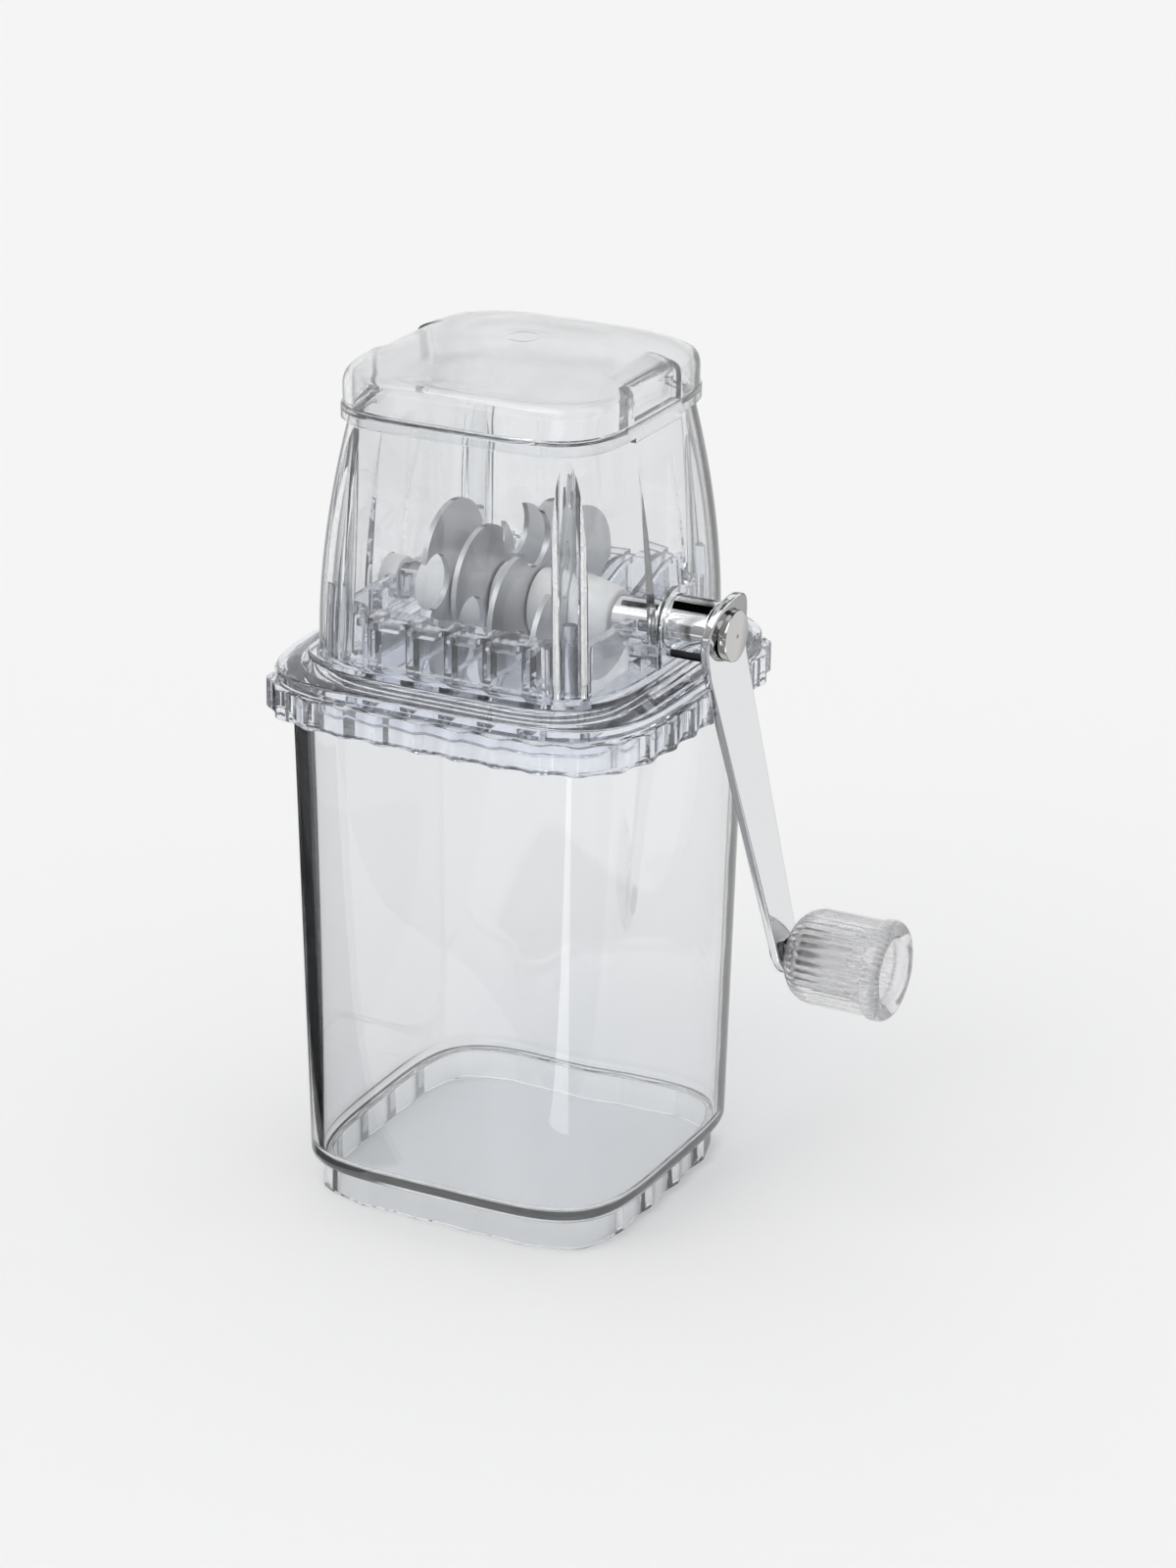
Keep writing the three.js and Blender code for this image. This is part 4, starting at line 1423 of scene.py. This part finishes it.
    def with_saddles(self, base: Solid, inner: float, top: float) -> Solid:
        """Add the blocks that carry the shaft and cut its bearing grooves.

        Args:
            base: The collar and comb.
            inner: The distance of the comb's inner face from the axis.
            top: The height of the comb's top.

        Returns:
            The same piece with its saddles.
        """
        hopper, slot, blind = self.hopper, self.hopper.slot_radius, self.hopper.blind_radius
        share = (SHAFT_AXIS - self.seat) / (hopper.top - hopper.low)
        outer = hopper.pad_face(share) - SEAT_GAP
        bottom = self.seat - self.plate_thickness
        saddle = block((inner, -self.saddle_half, bottom), (outer, self.saddle_half, SHAFT_AXIS))
        half = slot - SEAT_GAP
        tongue = block((inner, -half, bottom), (hopper.half_foot, half, SHAFT_AXIS))
        start, end = inner - CUT_OVERRUN, hopper.half_foot + CUT_OVERRUN
        grooves = []
        for radius, low, high in ((slot, start, end), (blind, -end, -start)):
            ends = Vector((low, 0, SHAFT_AXIS)), Vector((high, 0, SHAFT_AXIS))
            grooves.append(cylinder(radius, *ends, 64))
            grooves.append(block((low, -radius, SHAFT_AXIS), (high, radius, top + CUT_OVERRUN)))
        base = combine(base, Cut.JOIN, opposite(saddle) + [tongue])
        return combine(base, Cut.REMOVE, grooves)

    def posts(self) -> list[Solid]:
        """Make the four posts that stand in the hopper's hollow columns.

        Returns:
            The posts.
        """
        low, high = self.seat - self.plate_thickness / 2, self.seat + self.post_height
        posts = self.columns_at.at(self.post_radius, low, high, 32)
        return [rounded(post, self.post_round) for post in posts]


def square_bar(side: float, start: float, end: float) -> Solid:
    """Make a square bar along the shaft's axis."""
    half = side / 2
    return block((start, -half, SHAFT_AXIS - half), (end, half, SHAFT_AXIS + half))


@dataclass
class BladeStack:
    """The square shaft with its steel blades, their spacers and the two tapered hubs."""

    blades: int = 4
    stagger: float = 30.0
    thickness: float = 1.6
    reach: float = 29.5
    lobe: float = 17.0
    gullet: float = 8.0
    gullet_offset: float = 19.5
    gullet_turn: float = 38.0
    hub: float = 12.0
    claws: int = 3
    sides: int = 72
    lobe_sides: int = 96
    blade_soft: float = 0.18
    spacer_radius: float = 10.0
    spacer_soft: float = 0.5
    hub_radius: float = 10.4
    hub_nose: float = 7.75
    # Rows of a place along a hub and a step out, from its wide end and from its nose
    hub_lip: tuple = ((0.0, -0.5), (0.15, -0.1), (0.5, 0.0), (1.3, 0.0), (1.6, -0.2))
    hub_tip: tuple = ((-0.8, 0.0), (-0.25, -0.35), (0.0, -0.85))
    bar: float = 8.0
    bar_round: float = 0.5
    spigot_radius: float = 4.0
    journal_radius: float = 5.9
    seat_side: float = 7.0
    seat_round: float = 0.4
    stud_radius: float = 3.0

    def blade(self, number: int) -> None:
        """Stamp one blade: three claws, each with a round back and a hollow gullet.

        Args:
            number: Its place on the shaft, from 0 at the low end in X.
        """
        node = f"blade_{number + 1}"
        x = span(node)[0].x
        start, end = Vector((x, 0, SHAFT_AXIS)), Vector((x + self.thickness, 0, SHAFT_AXIS))
        over = Vector((CUT_OVERRUN, 0, 0))
        lobes, gullets = [], []
        for claw in range(self.claws):
            turn = math.radians(number * self.stagger + claw * 360 / self.claws)
            out = Vector((0, math.cos(turn), math.sin(turn))) * (self.reach - self.lobe)
            lobes.append(cylinder(self.lobe, start + out, end + out, self.lobe_sides))
            turn += math.radians(self.gullet_turn)
            out = Vector((0, math.cos(turn), math.sin(turn))) * self.gullet_offset
            gullets.append(cylinder(self.gullet, start + out - over, end + out + over, self.sides))
        plate = combine(cylinder(self.hub, start, end, self.sides), Cut.JOIN, lobes)
        side = self.bar + 2 * SEAT_GAP
        hole = square_bar(side, x - CUT_OVERRUN, x + self.thickness + CUT_OVERRUN)
        plate = combine(plate, Cut.REMOVE, gullets + [hole])
        made = finished(plate, node, "plate", Body.CRANK, BLADE_STEEL)
        bevel = made.modifiers.new("softened_edges", "BEVEL")
        bevel.width = self.blade_soft * MM
        bevel.segments = 2
        bevel.limit_method = "ANGLE"
        bevel.angle_limit = SHARP_ANGLE
        made.modifiers.move(len(made.modifiers) - 1, 0)

    def hub_line(self, length: float, bore: float) -> Line:
        """Give the profile of a tapered hub with softened edges.

        Args:
            length: Its length.
            bore: The radius of its bore.

        Returns:
            Points as (along, radius).
        """
        line = [(0.0, bore)] + shifted(self.hub_lip, 0.0, self.hub_radius)
        return line + shifted(self.hub_tip, length, self.hub_nose) + [(length, bore)]

    def build(self) -> None:
        """Make the blades, spacers, hubs and the shaft itself."""
        for number in range(self.blades):
            self.blade(number)
        bore = self.bar / 2 + SEAT_GAP
        for number in range(1, self.blades):
            node = f"spacer_{number}"
            line = tube_line(self.spacer_radius, bore, length_of(node), self.spacer_soft)
            turned_piece(node, line, Body.CRANK, WHITE)
        turned_piece("hub_right", self.hub_line(length_of("hub_right"), bore), Body.CRANK, WHITE)
        length = length_of("hub_left")
        line = [(length - along, out) for along, out in reversed(self.hub_line(length, bore))]
        turned_piece("hub_left", line, Body.CRANK, WHITE)
        self.shaft()

    def shaft(self) -> None:
        """Model the shaft: spigot, square bar, round journal, square seat and stud."""
        low, high = (corner.x for corner in span("drive_shaft"))
        bar_start = span("left_bush")[1].x + SEAT_GAP
        journal = span("hub_right")[1].x + SEAT_GAP
        seat = span("crank_sleeve")[1].x
        stud = span("crank_nut")[0].x - SEAT_GAP
        rounds = [
            (self.spigot_radius, low, bar_start + PART_OVERLAP),
            (self.journal_radius, journal, seat),
            (self.stud_radius, stud - PART_OVERLAP, high),
        ]
        parts = [
            cylinder(radius, *(Vector((x, 0, SHAFT_AXIS)) for x in ends), self.sides)
            for radius, *ends in rounds
        ]
        end = rounded(square_bar(self.seat_side, seat - PART_OVERLAP, stud), self.seat_round)
        parts.insert(2, end)
        bar = rounded(square_bar(self.bar, bar_start, journal + PART_OVERLAP), self.bar_round)
        finished(combine(bar, Cut.JOIN, parts), "drive_shaft", "bar", Body.CRANK, CHROME)


@dataclass
class Crank:
    """The crank: sleeve, arm and nut, the pin that the knob turns on, and the shaft's bushes."""

    head: float = 12.0
    foot: float = 6.5
    length: float = 89.7
    thickness: float = 2.6
    bend: float = 6.0
    bend_reach: float = 4.0
    slope: float = 0.25
    edge: float = 0.55
    hole: float = 3.3
    hole_reach: float = 40.0
    square_hole: float = 7.0
    cut_drops: tuple = (2.0, 4.0, 6.0, 8.0, 10.0, 30.0, 60.0)
    sleeve_radius: float = 8.75
    sleeve_bore: float = 6.2
    bush_radius: float = 6.2
    bush_bore: float = 4.3
    nut_radius: float = 7.3
    nut_cap: float = 1.0
    washer_radius: float = 7.0
    washer_thickness: float = 0.8
    sleeve_soft: float = 0.5
    bush_soft: float = 0.4
    washer_soft: float = 0.2
    pin_radius: float = 3.0
    pin_inset: float = 0.7
    pin_head: float = 4.6
    pin_end: float = 5.6
    pin_end_length: float = 1.8
    pin_end_soft: float = 0.4
    # Rows of a place along a piece's end and a step out from its rim
    nut_inner: tuple = ((0.0, -0.5), (0.15, -0.15), (0.5, 0.0))
    nut_outer: tuple = ((-0.6, 0.0), (-0.2, -0.15), (0.0, -0.6))
    pin_tip: tuple = ((-0.5, 0.0), (-0.1, -0.5), (0.0, -1.3))
    rivet: tuple = ((-1.2, -1.2), (-0.95, -0.3), (-0.5, 0.0), (0.0, 0.0))
    # Rows of the centre mark in the nut's face, from the shaft's axis
    nut_mark: tuple = ((0.0, 0.7), (-0.25, 0.45), (-0.3, 0.0))

    def arm(self) -> None:
        """Stamp the arm from an outline, round its rims, bend it and cut its holes."""
        inner = span("crank_arm")[0].x
        low = SHAFT_AXIS - self.length
        spread = math.degrees(math.asin((self.head - self.foot) / self.length))
        line = arc((0, SHAFT_AXIS), self.head, -spread, 180 + spread, 48)
        line += arc((0, low), self.foot, 180 + spread, 360 - spread, 36)
        outline = [Vector((inner, out, up)) for out, up in line]
        arm = rounded(prism(outline, Vector((self.thickness, 0, 0))), self.edge, 4)
        for drop in self.cut_drops:
            geometry = arm.verts[:] + arm.edges[:] + arm.faces[:]
            place = (0, 0, SHAFT_AXIS - drop)
            bmesh.ops.bisect_plane(arm, geom=geometry, plane_co=place, plane_no=(0, 0, 1))
        # Known fault: the squared term isn't held at 0 above the bend. The head should be flat,
        # but leans outward and runs into the nut.
        reach = self.bend_reach
        for vertex in arm.verts:
            drop = SHAFT_AXIS - vertex.co.z - self.bend
            out = drop if drop > reach else (drop + reach) ** 2 / (4 * reach)
            vertex.co.x += self.slope * out
        ends = Vector((inner, 0, low)), Vector((inner + self.hole_reach, 0, low))
        hole = cylinder(self.hole, *ends)
        side = self.square_hole + 2 * SEAT_GAP
        square = square_bar(side, inner - CUT_OVERRUN, inner + self.thickness + CUT_OVERRUN)
        arm = combine(arm, Cut.REMOVE, [hole, square])
        finished(arm, "crank_arm", "plate", Body.CRANK, CHROME)

    def pin(self) -> None:
        """Model the riveted pin, its head tilted to the arm's inner face."""
        low, high = (corner.x for corner in span("knob_pin"))
        start, neck = low + self.pin_inset, high - self.pin_end_length
        radius, end, soft = self.pin_radius, self.pin_end, self.pin_end_soft
        height = SHAFT_AXIS - self.length
        line = [(start, 0.0), (start, radius), (neck, radius), (neck, end - soft)]
        line += [(neck + soft, end)] + shifted(self.pin_tip, high, end) + [(high, 0.0)]
        dome = shifted(self.rivet, 0.0, self.pin_head)
        disc = turned([(dome[0][0], 0.0)] + dome + [(0.0, 0.0)])
        seat = span("crank_arm")[0].x + self.slope * (self.length - self.bend) - SEAT_GAP
        slant = Matrix.Rotation(math.atan(self.slope), 4, "Y").inverted()
        place = Matrix.Translation((seat, 0, height)) @ slant
        bmesh.ops.transform(disc, matrix=place, verts=disc.verts)
        pin = combine(moved(turned(line), 0, height), Cut.JOIN, [disc])
        finished(pin, "knob_pin", "rivet", Body.CRANK, PIN_STEEL)

    def nut_line(self, length: float) -> Line:
        """Give the profile of the round nut, capped outside, with a centre mark.

        Args:
            length: Its length.

        Returns:
            Points as (along, radius).
        """
        cap, wide = length - self.nut_cap, self.nut_radius
        line = [(cap, 0.0), (cap, self.hole), (0.0, self.hole)]
        line += shifted(self.nut_inner, 0.0, wide) + shifted(self.nut_outer, length, wide)
        return line + shifted(self.nut_mark, length, 0.0)

    def build(self) -> None:
        """Make the crank's pieces and the bushes that the shaft turns in."""
        self.arm()
        sleeve, bush = (self.sleeve_radius, self.sleeve_bore), (self.bush_radius, self.bush_bore)
        for node, (radius, bore), soft, body, finish in (
            ("crank_sleeve", sleeve, self.sleeve_soft, Body.CRANK, CHROME),
            ("right_bush", sleeve, self.bush_soft, Body.HOPPER, CLEAR),
            ("left_bush", bush, self.bush_soft, Body.HOPPER, WHITE),
        ):
            turned_piece(node, tube_line(radius, bore, length_of(node), soft), body, finish)
        nut = self.nut_line(length_of("crank_nut"))
        turned_piece("crank_nut", nut, Body.CRANK, TURNED_STEEL)
        size = self.washer_radius, self.hole, self.washer_thickness
        washer = tube_line(*size, self.washer_soft)
        height = SHAFT_AXIS - self.length
        turned_piece("knob_washer", washer, Body.CRANK, TURNED_STEEL, height)
        self.pin()


@dataclass
class Knob:
    """The hollow domed knob, ribbed lengthwise inside and out, with a rolled rim."""

    height: float = 85.3
    radius: float = 13.2
    nose_share: float = 0.4
    rim: float = 14.3
    rim_width: float = 5.2
    rim_back: float = 1.1
    bore: float = 9.0
    dome: float = 8.0
    floor: float = 4.2
    ribs: int = 36
    rib: float = 0.35
    hole: float = 3.3
    hole_soft: float = 0.3
    steps_a_rib: int = 10
    dome_steps: int = 9
    plain_steps: int = 4
    nose_flat: float = 0.8
    # Rows of a place along the knob, a step out and a share of the ribs' depth: outside before
    # the rim, and inside from the bore's mouth inwards
    neck_rows: tuple = ((-0.6, 0.0, 1.0), (-0.1, 0.1, 0.3))
    bore_rows: tuple = ((1.6, 0.05, 0.4), (0.8, 0.1, 1.0), (-4.0, -0.1, 1.0), (-6.0, -0.2, 0.0))
    # Rows of a place over the bore's floor and a step out
    floor_rows: tuple = ((1.0, -0.6), (0.3, -1.2), (0.0, -2.2))

    def ring(self, along: float, radius: float, ribbed: float) -> list[Vector]:
        """Give one ring of the knob round X.

        Args:
            along: Its place along X.
            radius: Its mean radius.
            ribbed: How deep its ribs are, as a share of the full depth.

        Returns:
            The ring's points.
        """
        steps = self.ribs * self.steps_a_rib
        points = []
        for step in range(steps):
            turn = 2 * math.pi * step / steps
            swell = 2 * abs(math.sin(self.ribs * turn / 2)) - 1
            reach = radius + self.rib * ribbed * swell
            out, up = reach * math.cos(turn), self.height + reach * math.sin(turn)
            points.append(Vector((along, out, up)))
        return points

    def build(self) -> None:
        """Loft the knob from its nose over the dome and rim into the bore and back."""
        low, length = span("knob")[0].x, length_of("knob")
        hole, bore, floor = self.hole, self.bore, self.floor
        nose = self.nose_share * self.radius
        soft = self.hole_soft
        rows = [(0.0, hole + soft, 0.0), (0.0, nose * self.nose_flat, 0.0)]
        for step in range(1, self.dome_steps + 1):
            turn = math.radians(90 / self.dome_steps * step)
            out = nose + (self.radius - nose) * math.sin(turn)
            ribbed = (step - self.plain_steps) / (self.dome_steps - self.plain_steps)
            rows.append((self.dome * (1 - math.cos(turn)), out, max(0.0, ribbed)))
        start = length - self.rim_width
        rows += [(start + up, self.radius + out, ribbed) for up, out, ribbed in self.neck_rows]
        back, front = self.rim_back, (self.rim - bore) / 2
        rim = arc((self.rim - back, start + back), back, -90, 0, 6)
        rim += arc((self.rim - front, length - front), front, 0, 180, 20)
        rows += [(up, out, 0.0) for out, up in rim]
        rows += [(start + up, bore + out, ribbed) for up, out, ribbed in self.bore_rows]
        rows += [(up, out, 0.0) for up, out in shifted(self.floor_rows, floor, bore)]
        rows += [(floor, hole + soft, 0.0), (floor - soft, hole, 0.0), (soft, hole, 0.0)]
        shell = loft([self.ring(low + along, out, ribbed) for along, out, ribbed in rows], True)
        finished(shell, "knob", "shell", Body.KNOB, CLEAR_KNOB)


@dataclass(frozen=True)
class Card:
    """A card or lamp of the studio: its corners in millimetres, its turn, and what shows it."""

    name: str
    low: Triple
    high: Triple
    turn: float = 0.0
    colour: str = "050506"
    refracted: bool = False
    glow: float = 0.0


# The edge card draws the dark line down the container's left edge. The front card greys the middle
# of the sleeve, and the strips draw sharp dark bands on the sleeve and the journal. The lamp strip
# draws a bright line down the container's front corner.
CARDS = (
    Card("card_edge", (-400, -40, 0.2), (-75, 420, 0.4), VIEW_TURN + 15, refracted=True),
    Card("card_front", (-1500, -2500, 0.2), (1500, -150, 0.4), VIEW_TURN, "A2A3A6"),
    Card("strip_sleeve", (48.4, -5.9, 184.05), (61.1, -2.4, 184.15)),
    Card("strip_journal", (30.5, -4.6, 183.0), (43, -0.8, 183.1)),
    Card("strip_under", (47, -9, 166.1), (61, 3, 166.2), colour="4A4A4E"),
    Card("lamp_strip", (-20, -500, 0.6), (20, -130, 0.8), VIEW_TURN, glow=3.0),
)


@dataclass
class Studio:
    """The pale studio: floor, lamps, side cards and the camera at the photograph's place."""

    pale: str = "F5F5F5"
    azimuth: float = VIEW_TURN
    pitch: float = 21.384
    distance: float = 1264.4
    lens: float = 102.156
    across: float = 18.93
    up: float = 119.29
    roll: float = 0.554
    fill: float = 0.8
    floor_half: float = 12.0  # in metres
    floor_drop: float = 0.2
    key_share: float = 0.2
    key_steep: float = 40.0
    key_spread: float = 50.0
    key_turn: float = -35.0
    # Rows of a share of the sky, from behind the object over the zenith, and a brightness
    shine_bands: tuple = (
        (0.0, 0.91), (0.27, 0.91), (0.33, 0.1), (0.47, 0.03),
        (0.5, 0.98), (0.62, 0.98), (0.72, 0.45), (1.0, 0.28),
    )
    clear_bands: tuple = (
        (0.0, 0.91), (0.3, 0.9), (0.38, 0.76), (0.45, 0.76),
        (0.5, 0.98), (0.7, 0.98), (0.8, 0.78), (1.0, 0.75),
    )

    def view_axes(self) -> tuple[Vector, Vector, Vector]:
        """Work out the camera's right, up and backward directions.

        Returns:
            The three directions, before its roll.
        """
        turn, pitch = math.radians(self.azimuth), math.radians(self.pitch)
        level = math.cos(pitch)
        back = Vector((math.sin(turn) * level, -math.cos(turn) * level, math.sin(pitch)))
        right = Vector((math.cos(turn), math.sin(turn), 0))
        return right, back.cross(right), back

    def camera(self) -> None:
        """Create the camera."""
        right, up, back = self.view_axes()
        place = (right * self.across + Vector((0, 0, self.up)) + back * self.distance) * MM
        roll = math.radians(self.roll)
        level = right * math.cos(roll) + up * math.sin(roll)
        upward = up * math.cos(roll) - right * math.sin(roll)
        data = bpy.data.cameras.new("camera")
        data.lens = self.lens
        data.clip_start = 0.01
        made = bpy.data.objects.new("camera", data)
        turn = Matrix((level, upward, back)).transposed()
        made.matrix_world = Matrix.Translation(place) @ turn.to_4x4()
        bpy.context.scene.collection.objects.link(made)
        bpy.context.scene.camera = made

    def world(self) -> None:
        """Lay a pale world: even for sight and fill, and banded in what shines or refracts."""
        world = bpy.data.worlds.new("pale_studio")
        bpy.context.scene.world = world
        world.use_nodes = True
        net = Net(world.node_tree)
        place = net.add("TexCoord", output="Generated")
        away = -self.view_axes()[2]
        away.z = 0
        away.normalize()
        dot = {"operation": "DOT_PRODUCT", 1: tuple(away)}
        forward = net.add("VectorMath", dot, {0: place}, "Value")
        upward = net.add("SeparateXYZ", links={"Vector": place}, output="Z")
        share = net.remap(net.maths("ARCTAN2", upward, forward), 0.0, math.pi)
        fill = net.add("Background", {"Color": (1, 1, 1, 1), "Strength": self.fill})
        pale = net.add("Background", {"Color": linear(self.pale)})
        path = net.add("LightPath").node.outputs
        seen = net.blend(path["Is Glossy Ray"], fill, self.banded(net, share, self.shine_bands))
        clear = self.banded(net, share, self.clear_bands)
        seen = net.blend(path["Is Transmission Ray"], seen, clear)
        seen = net.blend(path["Is Camera Ray"], seen, pale)
        net.add("OutputWorld", links={"Surface": seen})

    @staticmethod
    def banded(net: Net, share: Socket, bands: tuple) -> Socket:
        """Lay a background in bands over the sky, from behind the object to behind the camera.

        Args:
            net: The world's node tree.
            share: The share of the half turn over the zenith.
            bands: Rows of a share and a brightness.

        Returns:
            The background's output.
        """
        colour = net.add("ValToRGB", links={"Fac": share})
        stops = colour.node.color_ramp.elements
        while len(stops) < len(bands):
            stops.new(0.5)
        for stop, (position, grey) in zip(stops, bands):
            stop.position = position
            stop.color = (grey, grey, grey, 1)
        return net.add("Background", links={"Color": colour})

    def floor(self) -> None:
        """Lay the pale floor just under the object."""
        sheet = bmesh.new()
        bmesh.ops.create_grid(sheet, x_segments=1, y_segments=1, size=self.floor_half)
        made = as_object(moved(sheet, 0, -self.floor_drop * MM), "floor")
        made.data.materials.append(StudioSheet("matt_paper_pale", colour=self.pale).build())

    def cards(self) -> None:
        """Set the cards and the lamp strip, seen only in what shines or refracts."""
        for card in CARDS:
            sheet = block(card.low, card.high)
            turn = Matrix.Rotation(math.radians(card.turn), 4, "Z")
            bmesh.ops.transform(sheet, matrix=Matrix.Scale(MM, 4) @ turn, verts=sheet.verts)
            made = as_object(sheet, card.name)
            finish = StudioSheet(f"matt_{card.name}", colour=card.colour, glow=card.glow)
            made.data.materials.append(finish.build())
            made.visible_camera = made.visible_diffuse = made.visible_shadow = False
            made.visible_transmission = card.refracted

    def key(self) -> None:
        """Hang a broad soft key lamp, high on the left in front."""
        data = bpy.data.lights.new("key", "SUN")
        steep = math.radians(self.key_steep)
        data.energy = self.key_share * math.pi / math.cos(steep)
        data.angle = math.radians(self.key_spread)
        turn = Matrix.Rotation(math.radians(self.azimuth + self.key_turn), 4, "Z")
        made = bpy.data.objects.new("key", data)
        made.matrix_world = turn @ Matrix.Rotation(steep, 4, "X")
        bpy.context.scene.collection.objects.link(made)

    def build(self) -> None:
        """Set up the camera, the world, the floor, the cards and the lamp."""
        self.camera()
        self.world()
        self.floor()
        self.cards()
        self.key()
        bpy.context.scene.view_settings.view_transform = "Standard"


def main() -> None:
    """Build the studio and the object."""
    logging.basicConfig(level=logging.INFO, format="%(name)s: %(message)s")
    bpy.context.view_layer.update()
    Studio().build()
    columns = Columns()
    hopper = Hopper(columns)
    Container().build()
    hopper.build()
    Lid().build(hopper)
    CrusherBase(columns, hopper).build()
    BladeStack().build()
    Crank().build()
    Knob().build()


if __name__ == "__main__":
    main()
